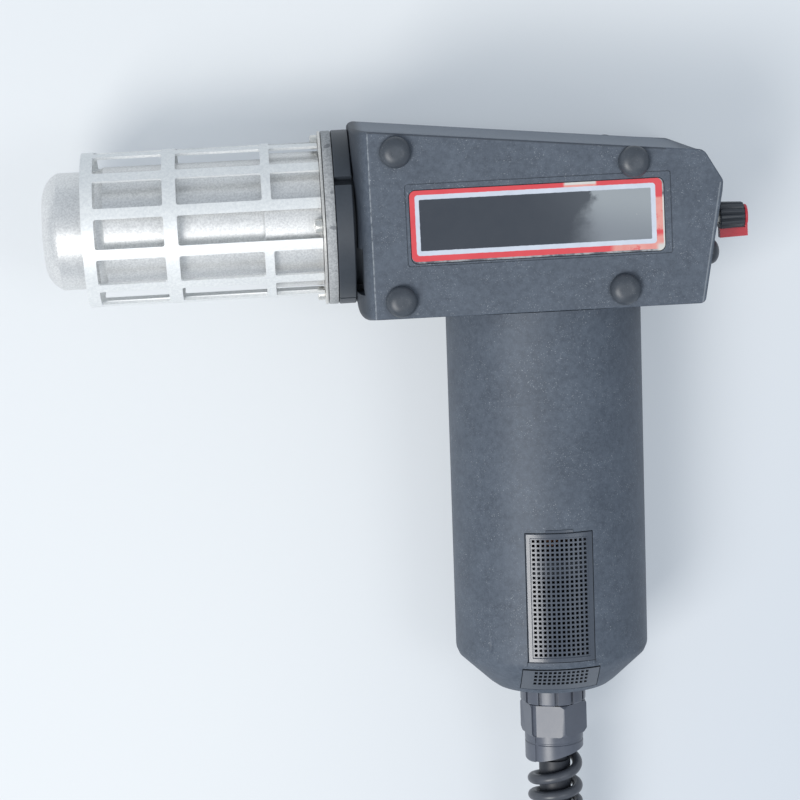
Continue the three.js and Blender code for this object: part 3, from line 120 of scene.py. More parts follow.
class Value:
    """A shader number. Arithmetic on it adds Math nodes."""

    def __init__(self, shader, socket):
        self.shader, self.socket = shader, socket

    def _math(self, operation, first, second=0.0):
        return self.shader.math(operation, first, second)

    def __add__(self, other):
        return self._math("ADD", self, other)

    __radd__ = __add__

    def __sub__(self, other):
        return self._math("SUBTRACT", self, other)

    def __rsub__(self, other):
        return self._math("SUBTRACT", other, self)

    def __mul__(self, other):
        return self._math("MULTIPLY", self, other)

    __rmul__ = __mul__

    def __truediv__(self, other):
        return self._math("DIVIDE", self, other)

    def power(self, exponent):
        return self._math("POWER", self, exponent)

    def absolute(self):
        return self._math("ABSOLUTE", self)

    def above(self, edge, blur=0.0):
        """0 below the edge and 1 above it, over a blur."""
        if not blur:
            return self._math("GREATER_THAN", self, edge)
        return self.shader.step(self, edge - blur, edge + blur)

    def below(self, edge, blur=0.0):
        return 1 - self.above(edge, blur)


class Shader:
    """A material with one Principled surface and plain-named ways to vary it."""

    def __init__(self, name, metallic=0.0, roughness=0.5, **sockets):
        self.material = bpy.data.materials.new(name)
        self.material.use_nodes = True
        self.tree = self.material.node_tree
        self.tree.nodes.clear()
        output = self.tree.nodes.new("ShaderNodeOutputMaterial")
        self.surface = self.tree.nodes.new("ShaderNodeBsdfPrincipled")
        self.tree.links.new(self.surface.outputs[0], output.inputs[0])
        self.set("Metallic", metallic)
        self.set("Roughness", roughness)
        for socket, value in sockets.items():
            self.set(socket.replace("_", " ").title().replace("Ior", "IOR"), value)
        self.coordinates = self.node("ShaderNodeTexCoord").outputs["Object"]

    def put(self, socket, value):
        if isinstance(value, Value):
            value = value.socket
        if isinstance(value, bpy.types.NodeSocket):
            self.tree.links.new(value, socket)
        elif hasattr(value, "__len__") and len(value) == 3 and socket.type == "RGBA":
            socket.default_value = (*value, 1.0)
        else:
            socket.default_value = value

    def set(self, name, value):
        self.put(self.surface.inputs[name], value)

    def node(self, kind, settings=None, sockets=None):
        made = self.tree.nodes.new(kind)
        for name, value in (settings or {}).items():
            setattr(made, name, value)
        for name, value in (sockets or {}).items():
            self.put(made.inputs[name], value)
        return made

    def math(self, operation, first, second=0.0):
        made = self.node("ShaderNodeMath", {"operation": operation}, {0: first, 1: second})
        return Value(self, made.outputs[0])

    def step(self, value, low, high):
        made = self.node("ShaderNodeMapRange", {"interpolation_type": "SMOOTHSTEP"},
                         {"Value": value, "From Min": low, "From Max": high})
        return Value(self, made.outputs[0])

    def larger(self, first, second):
        return self.math("MAXIMUM", first, second)

    def smaller(self, first, second):
        return self.math("MINIMUM", first, second)

    def noise(self, scale, detail=3.0, roughness=0.55):
        made = self.node("ShaderNodeTexNoise", None, {
            "Vector": self.coordinates, "Scale": scale, "Detail": detail, "Roughness": roughness})
        return Value(self, made.outputs["Fac"])

    def axes(self, place=None):
        """X, Y and Z of a point: in metres, or in millimetres in a placed frame."""
        vector = self.coordinates
        if place:
            back = place.inverted()
            vector = self.node("ShaderNodeMapping", {"vector_type": "POINT"}, {
                "Vector": vector, "Location": back.translation,
                "Rotation": back.to_euler(), "Scale": [1 / MM] * 3}).outputs[0]
        made = self.node("ShaderNodeSeparateXYZ", None, {0: vector})
        return [Value(self, output) for output in made.outputs]

    def mix(self, factor, first, second):
        made = self.node("ShaderNodeMix", {"data_type": "RGBA"}, {0: factor, 6: first, 7: second})
        return made.outputs[2]

    def bump(self, height, strength=0.3, distance=0.0003):
        sockets = {"Height": height, "Strength": strength, "Distance": distance}
        self.set("Normal", self.node("ShaderNodeBump", None, sockets).outputs[0])


def casing_plastic(name, painted_light=False):
    """Moulded dark blue-grey plastic with a fine spark texture, dust and pale specks. The head's version
    also paints light and shade: highlights along the panel's nozzle and rear edges, a shadow line under its
    top edge, a reflection on the top slope and shade on the nozzle wall.
    """
    s = Shader(name, roughness=0.55, specular_ior_level=0.5)
    grain = s.noise(1500, 4)
    cloud = s.noise(55, 4, 0.6)
    dust = s.noise(420, 5, 0.7)
    speck = s.noise(2100, 1).above(0.68, 0.03) * s.noise(100, 3).above(0.5, 0.14)
    tone = (cloud - 0.5) * 0.5 + (dust - 0.5) * 0.95 + (grain - 0.5) * 0.5 + 0.5
    color = s.mix(s.step(tone, 0.05, 0.95), (0.038, 0.050, 0.071), (0.096, 0.118, 0.152))
    color = s.mix(speck * 0.55, color, (0.34, 0.37, 0.40))
    if painted_light:
        x, y, z = s.axes(TOOL)
        on_panel = z.above(HEAD_HALF - 1.6)
        # Painted highlights: a thin light line along the panel's nozzle edge, broken up by the dust noise,
        # and a fainter one along its rear edge.
        nose_highlight = (x - (PANEL[0][0] - 0.35)).absolute().below(0.2, 0.12) * s.step(dust, 0.3, 0.6)
        rear_highlight = (x - 65.6 + (9.4 - y) * PANEL_REAR_SLOPE).absolute().below(0.25, 0.12) * y.below(9)
        over_top = y - PANEL[5][1] + (x - PANEL[0][0]) * PANEL_TOP_SLOPE
        # Painted shadow: a thin dark line just under the panel's top edge.
        top_shadow_line = (over_top + 0.1).absolute().below(0.3, 0.15) * x.below(45)
        # Painted reflection: the top slope is lighter, brightest next to the panel's top edge and fading
        # further up.
        top_reflection = s.step(over_top, 0.1, 0.5) * (s.step(over_top, 5, 0.3) * 0.7 + 0.3) * x.below(52, 6)
        color = s.mix(top_reflection * 0.42, color, (0.30, 0.34, 0.40))
        # Painted shade: the nozzle wall darkens towards the neck.
        color = s.mix(s.step(x, -69.6, -74.2) * 0.8, color, (0.014, 0.019, 0.028))
        # Paints the highlights along the panel's edges.
        color = s.mix(on_panel * (nose_highlight + rear_highlight * 0.5) * 0.55, color, (0.42, 0.45, 0.48))
        # Paints the shadow line under the panel's top edge.
        color = s.mix(on_panel * top_shadow_line * 0.7, color, (0.03, 0.036, 0.048))
    s.set("Base Color", color)
    s.set("Roughness", 0.46 + grain * 0.14 + dust * 0.1)
    s.bump(grain + dust * 0.5, 0.28, 0.00016)
    return s.material


def plain_plastic(name, color, light, roughness=0.45, grain=900, bump=0.12):
    """Smoother moulded plastic that varies a little in tone and gloss."""
    s = Shader(name, roughness=roughness)
    cloud = s.noise(70, 4)
    fine = s.noise(grain, 3)
    s.set("Base Color", s.mix(cloud * 0.7 + fine * 0.3, color, light))
    s.set("Roughness", roughness - 0.08 + cloud * 0.12 + fine * 0.06)
    s.bump(fine, bump, 0.00012)
    return s.material


def bumper_rubber():
    s = Shader("bumper_rubber", roughness=0.36, specular_ior_level=0.5)
    haze = s.noise(260, 5, 0.65)
    lint = s.noise(2600, 1).above(0.72, 0.02)
    color = s.mix(haze, (0.026, 0.032, 0.042), (0.07, 0.082, 0.1))
    s.set("Base Color", s.mix(lint * 0.35, color, (0.3, 0.32, 0.34)))
    s.set("Roughness", 0.3 + haze * 0.2)
    s.bump(haze, 0.1, 0.0001)
    return s.material


def satin_metal(name, dark, light, metallic, roughness, fine=900):
    """Blasted metal with a fine speckle, stains and small scratches."""
    s = Shader(name, metallic=metallic, roughness=roughness)
    speckle = s.noise(fine, 3, 0.7)
    stain = s.noise(42, 4)
    scratch = s.noise(700, 2).above(0.68, 0.03)
    s.set("Base Color", s.mix(stain * 0.45 + s.step(speckle, 0.3, 0.7) * 0.55, dark, light))
    s.set("Roughness", roughness - 0.1 + speckle * 0.16 + stain * 0.1 - scratch * 0.05)
    s.bump(speckle + scratch * 0.4, 0.25, 0.00012)
    return s.material


def gasket_fibre():
    s = Shader("pressed_fibre", roughness=0.95)
    fleck = s.noise(1100, 3, 0.7)
    coarse = s.noise(300, 2)
    spot = s.noise(170, 1).above(0.7, 0.02)
    color = s.mix(s.step(fleck, 0.25, 0.75), (0.24, 0.25, 0.26), (0.50, 0.51, 0.515))
    color = s.mix(coarse * 0.4, color, (0.36, 0.37, 0.38))
    s.set("Base Color", s.mix(spot * 0.6, color, (0.10, 0.105, 0.12)))
    s.bump(fleck, 0.6, 0.0004)
    return s.material


def plate_film():
    """Blank plate: red border, white line and dark field, scuffed and peeled at its right end, where a
    painted glare also lightens the field.
    """
    s = Shader("worn_plate_with_glare", roughness=0.3, specular_ior_level=0.5)
    x, y, _ = s.axes(TOOL)
    fray = (s.noise(500, 3) - 0.5) * 0.3
    wear = s.noise(160, 5, 0.7)
    ragged = (s.noise(170, 5, 0.65) - 0.5) * 14

    def inside(left, right, low, high, corner):
        """1 within a rounded rectangle given in the tool's millimetres."""
        over_x = (x - (left + right) / 2).absolute() - ((right - left) / 2 - corner)
        over_y = (y - (low + high) / 2).absolute() - ((high - low) / 2 - corner)
        out_x, out_y = s.larger(over_x, 0), s.larger(over_y, 0)
        outer = (out_x * out_x + out_y * out_y).power(0.5)
        distance = outer + s.smaller(s.larger(over_x, over_y), 0) - corner
        return (distance + fray).below(0, 0.1)

    residue = s.mix(s.step(wear, 0.42, 0.6), (0.08, 0.09, 0.11), (0.34, 0.35, 0.36))
    red = s.mix(s.noise(120, 4), (0.56, 0.035, 0.05), (0.68, 0.075, 0.085))
    white = s.mix(s.noise(200, 4), (0.46, 0.50, 0.58), (0.62, 0.66, 0.74))
    dark = s.mix(s.noise(60, 4), (0.020, 0.027, 0.040), (0.034, 0.042, 0.056))
    cream = s.mix(s.noise(300, 3), (0.50, 0.49, 0.47), (0.66, 0.64, 0.60))
    salmon = s.mix(s.noise(350, 3), (0.64, 0.21, 0.19), (0.72, 0.36, 0.31))

    depth = s.larger(8 - y, 0)
    scraped = s.step((x - 15.5 + depth * 0.25 + ragged * 0.8) / (depth * 0.45 + 0.8), -1, 1)
    # The dark field turns pale grey towards the right end: partly scraped wear, and partly a painted glare,
    # since haze also lightens it a little where nothing is scraped and pale is lighter towards the top.
    haze = s.step(x - depth * 0.3, -14, 20)
    pale = s.mix(s.step(y + (x - 20) * 0.15, -10, 8), (0.19, 0.21, 0.235), (0.28, 0.305, 0.325))
    field = s.mix(haze * (scraped * 0.88 + 0.12), dark, pale)
    low_rim, high_rim = y.below(-10, 1), y.above(8, 1)
    peeled_top = x.above(5, 0.6) * x.below(17.5, 0.5) * high_rim
    peeled_side = x.above(38.5) * y.above(-8, 0.5) * y.below(4.5, 0.5)
    peeled_low = x.above(23, 1.5) * low_rim
    peeled = s.larger(s.larger(peeled_top, peeled_side), peeled_low) * s.step(wear, 0.34, 0.46)
    border = s.mix(peeled, red, s.mix(peeled_top * y.above(10.9, 0.2), salmon, cream))
    outside = s.mix(x.above(41.5, 0.4) * y.below(5, 1), residue, cream)
    color = s.mix(inside(-54.4, 42.8, -15.4, 11.9, 2.2), outside, border)
    color = s.mix(inside(-52.4, 40.2, -13.2, 10.1, 1.2), color, white)
    color = s.mix(inside(-50.8, 38.4, -11.4, 8.3, 0.5), color, field)
    color = s.mix(s.step(x, 39.5, 41.5) * s.step(y, -12.6, -14.2), color, cream)
    s.set("Base Color", s.mix(s.step(wear, 0.72, 0.78), color, cream))
    s.set("Roughness", 0.26 + wear * 0.2 + peeled * 0.3)
    s.bump(peeled * -1 + wear * 0.1, 0.3, 0.0001)
    return s.material


def cord_rubber():
    s = Shader("cord_rubber", roughness=0.5)
    haze = s.noise(180, 4)
    s.set("Base Color", s.mix(haze, (0.030, 0.034, 0.043), (0.085, 0.092, 0.11)))
    s.set("Roughness", 0.26 + haze * 0.2)
    s.bump(s.noise(1200, 2), 0.08, 0.0001)
    return s.material


def red_plastic():
    s = Shader("red_plastic", roughness=0.32)
    haze = s.noise(400, 4)
    s.set("Base Color", s.mix(haze, (0.52, 0.012, 0.03), (0.72, 0.05, 0.07)))
    s.set("Roughness", 0.26 + haze * 0.16)
    return s.material


def banded(name, dark, light, metallic, roughness, pitch):
    """Stacked or wound material: fine bands along the handle axis."""
    s = Shader(name, metallic=metallic, roughness=roughness)
    _, along, _ = s.axes(HANDLE)
    band = s.math("PINGPONG", along, pitch) / pitch
    s.set("Base Color", s.mix(band * 0.7 + s.noise(200, 3) * 0.3, dark, light))
    s.set("Roughness", roughness - 0.08 + band * 0.16)
    s.bump(band, 0.4, 0.0002)
    return s.material


CASING = casing_plastic("moulded_casing")
# The head's casing also carries painted highlights, a painted shadow line, a painted reflection and painted
# shade.
HEAD_CASING = casing_plastic("moulded_head", painted_light=True)
NECK_BLACK = plain_plastic("neck_black", (0.018, 0.023, 0.032), (0.052, 0.063, 0.078), 0.45)
RUBBER = bumper_rubber()
PLATE_FILM = plate_film()
KNOB_BLACK = plain_plastic("knob_black", (0.026, 0.030, 0.037), (0.062, 0.069, 0.082), 0.36)
RED = red_plastic()
TUBE_STEEL = satin_metal("satin_tube", (0.58, 0.58, 0.58), (0.93, 0.93, 0.92), 0.75, 0.36, 1300)
CAGE_ALLOY = satin_metal("cage_alloy", (0.70, 0.72, 0.73), (0.90, 0.91, 0.90), 0.4, 0.45)
FLANGE_STEEL = satin_metal("flange_steel", (0.55, 0.54, 0.52), (0.82, 0.80, 0.76), 0.8, 0.35)
SCREW_METAL = satin_metal("bright_screw", (0.6, 0.59, 0.56), (0.85, 0.84, 0.8), 0.9, 0.28)
FIBRE = gasket_fibre()
CERAMIC = plain_plastic("ceramic_white", (0.6, 0.57, 0.5), (0.8, 0.77, 0.71), 0.75, 1400, 0.3)
MICA = plain_plastic("mica_sheet", (0.28, 0.22, 0.14), (0.5, 0.42, 0.3), 0.45, 300)
WIRE = satin_metal("oxidised_wire", (0.1, 0.09, 0.085), (0.3, 0.27, 0.24), 0.8, 0.5)
BOARD = plain_plastic("board_green", (0.02, 0.1, 0.045), (0.05, 0.2, 0.09), 0.4, 500)
LAMINATIONS = banded("laminations", (0.12, 0.12, 0.125), (0.32, 0.32, 0.33), 0.8, 0.45, 0.5)
COPPER = banded("copper_winding", (0.3, 0.09, 0.03), (0.62, 0.26, 0.1), 0.8, 0.35, 0.4)
CARBON = plain_plastic("brush_carbon", (0.012, 0.012, 0.013), (0.035, 0.035, 0.036), 0.6)
GRILLE_BLACK = plain_plastic("grille_black", (0.034, 0.043, 0.060), (0.076, 0.090, 0.116), 0.24, 1300, 0.05)
STRIP_GREY = plain_plastic("strip_grey", (0.062, 0.073, 0.09), (0.105, 0.12, 0.145), 0.45, 1300)
GLAND_BLACK = plain_plastic("gland_black", (0.060, 0.068, 0.090), (0.112, 0.125, 0.158), 0.34)
CORD_BLACK = cord_rubber()
# The kink sleeve's rubber is a darker copy of the cord's: painted shade inside the kink spiral.
SHADED_KINK_CORE = plain_plastic("kink_core_painted_shade", (0.010, 0.013, 0.020), (0.026, 0.030, 0.040), 0.5)
PLUG_BLACK = plain_plastic("plug_black", (0.014, 0.015, 0.018), (0.04, 0.043, 0.048), 0.5)


def photo_camera():
    """Camera that puts the origin and the axes where the photograph has them."""
    x, y = math.sin(math.radians(CAMERA_TILT_X)), math.sin(math.radians(CAMERA_TILT_Y))
    back = Vector((x, y, math.sqrt(1 - x * x - y * y)))
    up = (Vector((0, 1, 0)) - back * back.y).normalized()
    right = up.cross(back)
    roll = math.radians(-CAMERA_ROLL)
    right, up = (right * math.cos(roll) + up * math.sin(roll),
                 up * math.cos(roll) - right * math.sin(roll))
    focal = CAMERA_DISTANCE / PHOTO_SCALE
    across, down = ORIGIN_PIXEL[0] - PHOTO_SIDE / 2, ORIGIN_PIXEL[1] - PHOTO_SIDE / 2
    place = back * CAMERA_DISTANCE - (right * across - up * down) * PHOTO_SCALE
    turn = Matrix((right, up, back)).transposed().to_4x4()
    camera = linked("photo_camera", bpy.data.cameras.new("photo_camera"))
    camera.matrix_world = Matrix.Translation(TOOL @ place) @ TURN @ turn
    camera.data.sensor_width = SENSOR_WIDTH
    camera.data.lens = focal / PHOTO_SIDE * SENSOR_WIDTH
    camera.data.clip_end = 50
    bpy.context.scene.camera = camera


def linked(name, data):
    made = bpy.data.objects.new(name, data)
    bpy.context.scene.collection.objects.link(made)
    return made


photo_camera()


def rounded(corners, steps=10):
    """Points of an outline with rounded corners, the same number for each corner."""
    points = []
    for i, (x, y, radius) in enumerate(corners):
        here = Vector((x, y))
        back = (Vector(corners[i - 1][:2]) - here).normalized()
        ahead = (Vector(corners[(i + 1) % len(corners)][:2]) - here).normalized()
        half = back.angle(ahead) / 2
        start = here + back * (radius / math.tan(half))
        end = here + ahead * (radius / math.tan(half))
        centre = here + (back + ahead).normalized() * (radius / math.sin(half))
        first = math.atan2(*(start - centre).yx)
        sweep = math.atan2(*(end - centre).yx) - first
        sweep = (sweep + math.pi) % (2 * math.pi) - math.pi
        for k in range(steps + 1):
            angle = first + sweep * k / steps
            points.append((centre.x + radius * math.cos(angle), centre.y + radius * math.sin(angle)))
    return points


def inset(corners, distance):
    """Corners of a convex outline moved inwards, or outwards by a negative distance."""
    made = []
    for i, (x, y, radius) in enumerate(corners):
        before, after = corners[i - 1], corners[(i + 1) % len(corners)]
        into = Vector((x - before[0], y - before[1])).normalized()
        out = Vector((after[0] - x, after[1] - y)).normalized()
        shift = (out - into) * (distance / into.cross(out))
        made.append((x + shift.x, y + shift.y, max(radius - distance, 0.6)))
    return made


def flat(outline, z):
    return [(x, y, z) for x, y in outline]


def lofted(sections):
    """Solid through closed loops of equal point count."""
    bm = bmesh.new()
    loops = []
    for points in sections:
        verts = [bm.verts.new(point) for point in points]
        loops.append([bm.edges.new(pair) for pair in zip(verts, verts[1:] + verts[:1])])
    for first, second in zip(loops, loops[1:]):
        bmesh.ops.bridge_loops(bm, edges=first + second)
    for edges in (loops[0], loops[-1]):
        bmesh.ops.edgeloop_fill(bm, edges=edges)
    bmesh.ops.recalc_face_normals(bm, faces=bm.faces)
    return bm


def turned(profile, axis="y", steps=96):
    """Full turn of a profile of (radius, height) pairs about an axis, closed where it leaves it."""
    bm = bmesh.new()
    place = {"x": lambda r, h: (h, r, 0), "y": lambda r, h: (r, h, 0), "z": lambda r, h: (r, 0, h)}[axis]
    verts = [bm.verts.new(place(r, h)) for r, h in profile]
    for pair in zip(verts, verts[1:]):
        bm.edges.new(pair)
    if profile[0][0] > 0 and profile[-1][0] > 0:
        bm.edges.new((verts[-1], verts[0]))
    line = {"x": (1, 0, 0), "y": (0, 1, 0), "z": (0, 0, 1)}[axis]
    bmesh.ops.spin(bm, geom=bm.verts[:] + bm.edges[:], cent=(0, 0, 0), axis=line, angle=2 * math.pi,
                   steps=steps, use_merge=True, use_duplicate=False)
    bmesh.ops.remove_doubles(bm, verts=bm.verts, dist=1e-4)
    bmesh.ops.recalc_face_normals(bm, faces=bm.faces)
    return bm


def rod(radius, low, high, axis="y", steps=48):
    return turned([(0, low), (radius, low), (radius, high), (0, high)], axis, steps)


def block(x0, x1, y0, y1, z0, z1):
    bm = bmesh.new()
    size = Matrix.Diagonal((x1 - x0, y1 - y0, z1 - z0, 1))
    place = Matrix.Translation(((x0 + x1) / 2, (y0 + y1) / 2, (z0 + z1) / 2))
    bmesh.ops.create_cube(bm, size=1, matrix=place @ size)
    return bm


def moved(bm, matrix):
    bmesh.ops.transform(bm, matrix=matrix, verts=bm.verts)
    if matrix.determinant() < 0:
        bmesh.ops.reverse_faces(bm, faces=bm.faces)
    return bm


def shifted(bm, x=0.0, y=0.0, z=0.0):
    return moved(bm, Matrix.Translation((x, y, z)))


def about(axis, degrees):
    return Matrix.Rotation(math.radians(degrees), 4, axis)


def together(parts):
    """One bmesh of several, left as separate solids."""
    whole = bmesh.new()
    for part in parts:
        mesh = bpy.data.meshes.new("part")
        part.to_mesh(mesh)
        part.free()
        whole.from_mesh(mesh)
        bpy.data.meshes.remove(mesh)
    return whole


def meshed(name, bm):
    """Object made of a bmesh, which is used up."""
    mesh = bpy.data.meshes.new(name)
    bm.to_mesh(mesh)
    bm.free()
    return linked(name, mesh)


def combined(bm, tools, operation="DIFFERENCE"):
    """Exact boolean of a solid with each tool in turn. Base and tools are used up."""
    base = meshed("base", bm)
    others = [meshed("tool", tool) for tool in tools]
    for other in others:
        modifier = base.modifiers.new("cut", "BOOLEAN")
        modifier.object = other
        modifier.operation = operation
        modifier.solver = "EXACT"
    graph = bpy.context.evaluated_depsgraph_get()
    graph.update()
    result = bmesh.new()
    result.from_mesh(base.evaluated_get(graph).to_mesh())
    for held in [base, *others]:
        mesh = held.data
        bpy.data.objects.remove(held)
        bpy.data.meshes.remove(mesh)
    return result


def piece(name, bm, material, nodes, where=TOOL, body="casing", sharp=35, bevel=0.0,
          weighted=False):
    """Finished piece that stands for CAD nodes. bevel rounds its sharp edges, in millimetres."""
    moved(bm, where)
    for face in bm.faces:
        face.smooth = True
    for edge in bm.edges:
        angle = edge.calc_face_angle(0) if len(edge.link_faces) == 2 else 0
        edge.smooth = angle < math.radians(sharp)
    obj = meshed(name, bm)
    if bevel:
        modifier = obj.modifiers.new("edges", "BEVEL")
        modifier.affect = "EDGES"
        modifier.width = bevel * MM
        modifier.segments = 2
        modifier.profile = 0.5
        modifier.material = -1
        modifier.limit_method = "ANGLE"
        modifier.angle_limit = math.radians(sharp)
        modifier.harden_normals = True
    if weighted:
        obj.modifiers.new("normals", "WEIGHTED_NORMAL").keep_sharp = True
    return dressed(obj, material, nodes, body)


def dressed(obj, material, nodes, body="casing"):
    obj.data.materials.append(material)
    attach(obj, body)
    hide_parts(*nodes)
    return obj


def bulge(centre, width, height, start, end, steps):
    """Points on part of an ellipse in a (radius, height) profile, angles in degrees."""
    angles = [math.radians(start + (end - start) * k / steps) for k in range(steps + 1)]
    return [(centre[0] + width * math.cos(a), centre[1] + height * math.sin(a)) for a in angles]


def arc(centre, radius, start, end, steps):
    return bulge(centre, radius, radius, start, end, steps)


def rectangle(left, right, low, high, radius, steps=10):
    """Outline with four equal rounded corners."""
    corners = [(left, low, radius), (right, low, radius), (right, high, radius), (left, high, radius)]
    return rounded(corners, steps)


def slab(outline, low, high):
    return lofted([flat(outline, low), flat(outline, high)])


def rear_wall(y):
    low, high = PARTING[1], PARTING[2]
    return low[0] + (high[0] - low[0]) * (y - low[1]) / (high[1] - low[1])


def mixed_outline(share, grow, front_share=None):
    """Corners between the parting line and the panel. The nozzle end may follow another share."""
    front = share if front_share is None else front_share
    corners = []
    for i, (low, high) in enumerate(zip(PARTING, PANEL)):
        at = [a + (b - a) * share for a, b in zip(low, high)]
        if i in (0, 5):
            at[0] = low[0] + (high[0] - low[0]) * front
        corners.append(tuple(at))
    return inset(corners, -grow)


# Panel's edge and the seam between the shells
EDGE_ROUND = 0.55
EDGE_GROW = 0.35
SEAM_DEPTH = 0.5
SEAM_HALF = 0.35


def head_form(grow=0.0, seam=True):
    """Half of the head above the parting plane: seam groove, drafted side and rounded panel edge."""
    if seam:
        sections = [(mixed_outline(0, grow - SEAM_DEPTH), 0.08),
                    (mixed_outline(0, grow - SEAM_DEPTH * 0.3), SEAM_HALF * 0.6)]
    else:
        sections = [(mixed_outline(0, grow), -0.5)]
    side_top = HEAD_HALF + grow - EDGE_ROUND
    levels = 12
    for k in range(levels + 1):
        share = 1 - (1 - k / levels) ** 2
        outline = mixed_outline(share, grow + EDGE_GROW * share, share ** NOSE_WALL_POWER)
        sections.append((outline, SEAM_HALF + (side_top - SEAM_HALF) * share))
    for out, up in arc((0, 0), EDGE_ROUND, 22.5, 90, 3):
        rim = EDGE_GROW - EDGE_ROUND + out
        sections.append((mixed_outline(1, grow + rim), side_top + up))
    return lofted([flat(rounded(corners), z) for corners, z in sections])


# Knob and button on the rear wall
KNOB_HOLE = 4
KNOB_RADIUS = 5.9
FLUTES = 14
FLUTE_DEPTH = 0.7
KNOB_TAPER = 0.4
POINTER_REACH = 8.5
POINTER_HALF = 2.3
KNOB_START = rear_wall(KNOB_AXIS.y + POINTER_REACH) - 1.3
KNOB_END = KNOB_START + 9.6
BUTTON_Y = -21.8
BUTTON_RADIUS = 5.2
BUTTON_PROUD = 2.5
BUTTON_DOME = 3.64
BUTTON_DEPTH = 5.8


def grown_box(box, grow, radius, steps=10):
    left, right, low, high = box
    return rectangle(left - grow, right + grow, low - grow, high + grow, radius + grow, steps)


def frame_groove(box, width, depth):
    """Ring that cuts a thin rectangular groove into the panel."""
    outer = slab(grown_box(box, width / 2, 1, 4), HEAD_HALF - depth, HEAD_HALF + 1)
    inner = slab(grown_box(box, -width / 2, 1, 4), HEAD_HALF - 2, HEAD_HALF + 2)
    return combined(outer, [inner])


def head_shell(right):
    inner = lofted([flat(rounded(inset(PARTING, HEAD_WALL), 6), -1),
                    flat(rounded(inset(PANEL, HEAD_WALL), 6), HEAD_HALF - HEAD_WALL)])
    tools = [inner]
    tools += [shifted(rod(BUMPER_STEM + SEAT, HEAD_HALF - 6, HEAD_HALF + 1, "z"), x, y) for x, y in BUMPERS]
    tools.append(rod(NECK_SPIGOT + SEAT, HEAD_FRONT - 5, HEAD_FRONT + 11, "x", 96))
    tools.append(moved(rod(HANDLE_MOUTH, -64, -33.5, "y", 96), about("Z", -math.degrees(HANDLE_LEAN))))
    past = REAR_END + 6
    tools.append(shifted(rod(KNOB_HOLE, REAR_END - 14, past, "x"), y=KNOB_AXIS.y))
    tools.append(shifted(rod(POINTER_REACH + 0.4, KNOB_START - 0.4, past, "x", 64), y=KNOB_AXIS.y))
    tools.append(shifted(rod(BUTTON_RADIUS + 0.4, REAR_END - 18, past, "x"), y=BUTTON_Y))
    tools.append(block(HEAD_FRONT - 2, HEAD_FRONT + 2.4, *NOSE_RECESS))
    if right:
        tools.append(frame_groove(PLATE_GROOVE, 0.4, 0.35))
        tools.append(slab(grown_box(PLATE_BOX, SEAT, PLATE_CORNER), HEAD_HALF - 0.8, HEAD_HALF + 1))
    shell = combined(head_form(), tools)
    return shell if right else moved(shell, MIRROR_Z)


def make_head():
    for side in ("right", "left"):
        shell = head_shell(side == "right")
        piece(f"casing_{side}", shell, HEAD_CASING, [f"head_shell_{side}"], sharp=33,
              weighted=True)
    foot = HEAD_HALF + SEAT
    profile = [(0, foot - 2.6), (BUMPER_STEM, foot - 2.6), (BUMPER_STEM, foot), (BUMPER_RADIUS - 0.2, foot),
               (BUMPER_RADIUS, foot + 0.2), (BUMPER_RADIUS, foot + 0.9)]
    profile += bulge((1.6, foot + 0.9), BUMPER_RADIUS - 1.6, 3.4, 7.5, 90, 11)
    profile.append((0, foot + 4.3))
    for side in ("right", "left"):
        for i, (x, y) in enumerate(BUMPERS, 1):
            bm = shifted(turned(profile, "z", 48), x, y)
            if side == "left":
                bm = moved(bm, MIRROR_Z)
            name = f"bumper_{side}_{i}"
            piece(f"{name}_rubber", bm, RUBBER, [name], sharp=50)
    plate = slab(rectangle(*PLATE_BOX, PLATE_CORNER), HEAD_HALF - 0.5, HEAD_HALF + 0.2)
    piece("plate", plate, PLATE_FILM, ["name_plate"], bevel=0.12)


def fluted(x, radius, steps=14):
    """Section of the knob with rounded flutes."""
    points = []
    for i in range(FLUTES * steps):
        wave = 0.5 + 0.5 * math.cos(2 * math.pi * i / steps)
        r = radius - FLUTE_DEPTH * wave ** 2.2
        angle = 2 * math.pi * i / (FLUTES * steps)
        points.append((x, r * math.cos(angle), r * math.sin(angle)))
    return points


def make_controls():
    start, end = KNOB_START - 0.25, KNOB_END
    levels = [(start, 0.2), (start + 0.3, 0), (end - 0.7, KNOB_TAPER), (end - 0.2, KNOB_TAPER + 0.2),
              (end, KNOB_TAPER + 0.6)]
    barrel = lofted([fluted(x, KNOB_RADIUS - less) for x, less in levels])
    bore = rod(3.06, KNOB_START - 1, end - 2.2, "x")
    root, half = 1.2 - KNOB_RADIUS, POINTER_HALF
    slot = block(KNOB_START - 1, end + 1, -KNOB_RADIUS - 1, root + 0.3, -half - 0.3, half + 0.3)
    knob = shifted(combined(barrel, [bore, slot]), y=KNOB_AXIS.y)
    piece("knob_grip", knob, KNOB_BLACK, ["knob_barrel"], body="temperature_knob", sharp=28)
    back, face = end + 0.3, end + 1.4
    disc = turned([(0, back), (4.4, back), *arc((3.9, face - 0.5), 0.5, 0, 90, 5), (0, face)], "x")
    tip = KNOB_TAPER - POINTER_REACH

    def bar_section(x, low, high):
        return [(x, low, -half), (x, low, half), (x, high, half), (x, high, -half)]

    bar = lofted([bar_section(start, -POINTER_REACH, root), bar_section(face - 0.1, tip, root)])
    spoke = lofted([bar_section(back, tip, 0), bar_section(face - 0.05, tip, 0)])
    cap = shifted(combined(disc, [spoke, bar], "UNION"), y=KNOB_AXIS.y)
    piece("knob_red_cap", cap, RED, ["knob_cap"], body="temperature_knob", bevel=0.3)
    wall = rear_wall(BUTTON_Y)
    shoulder = wall + BUTTON_PROUD - BUTTON_DOME
    profile = [(0, wall - BUTTON_DEPTH), (BUTTON_RADIUS, wall - BUTTON_DEPTH), (BUTTON_RADIUS, shoulder)]
    profile += bulge((0, shoulder), BUTTON_RADIUS, BUTTON_DOME, 7.5, 82.5, 10)
    profile.append((0, shoulder + BUTTON_DOME))
    piece("button_boot", shifted(turned(profile, "x", 48), y=BUTTON_Y), RUBBER, ["power_button"],
          body="button", sharp=50)


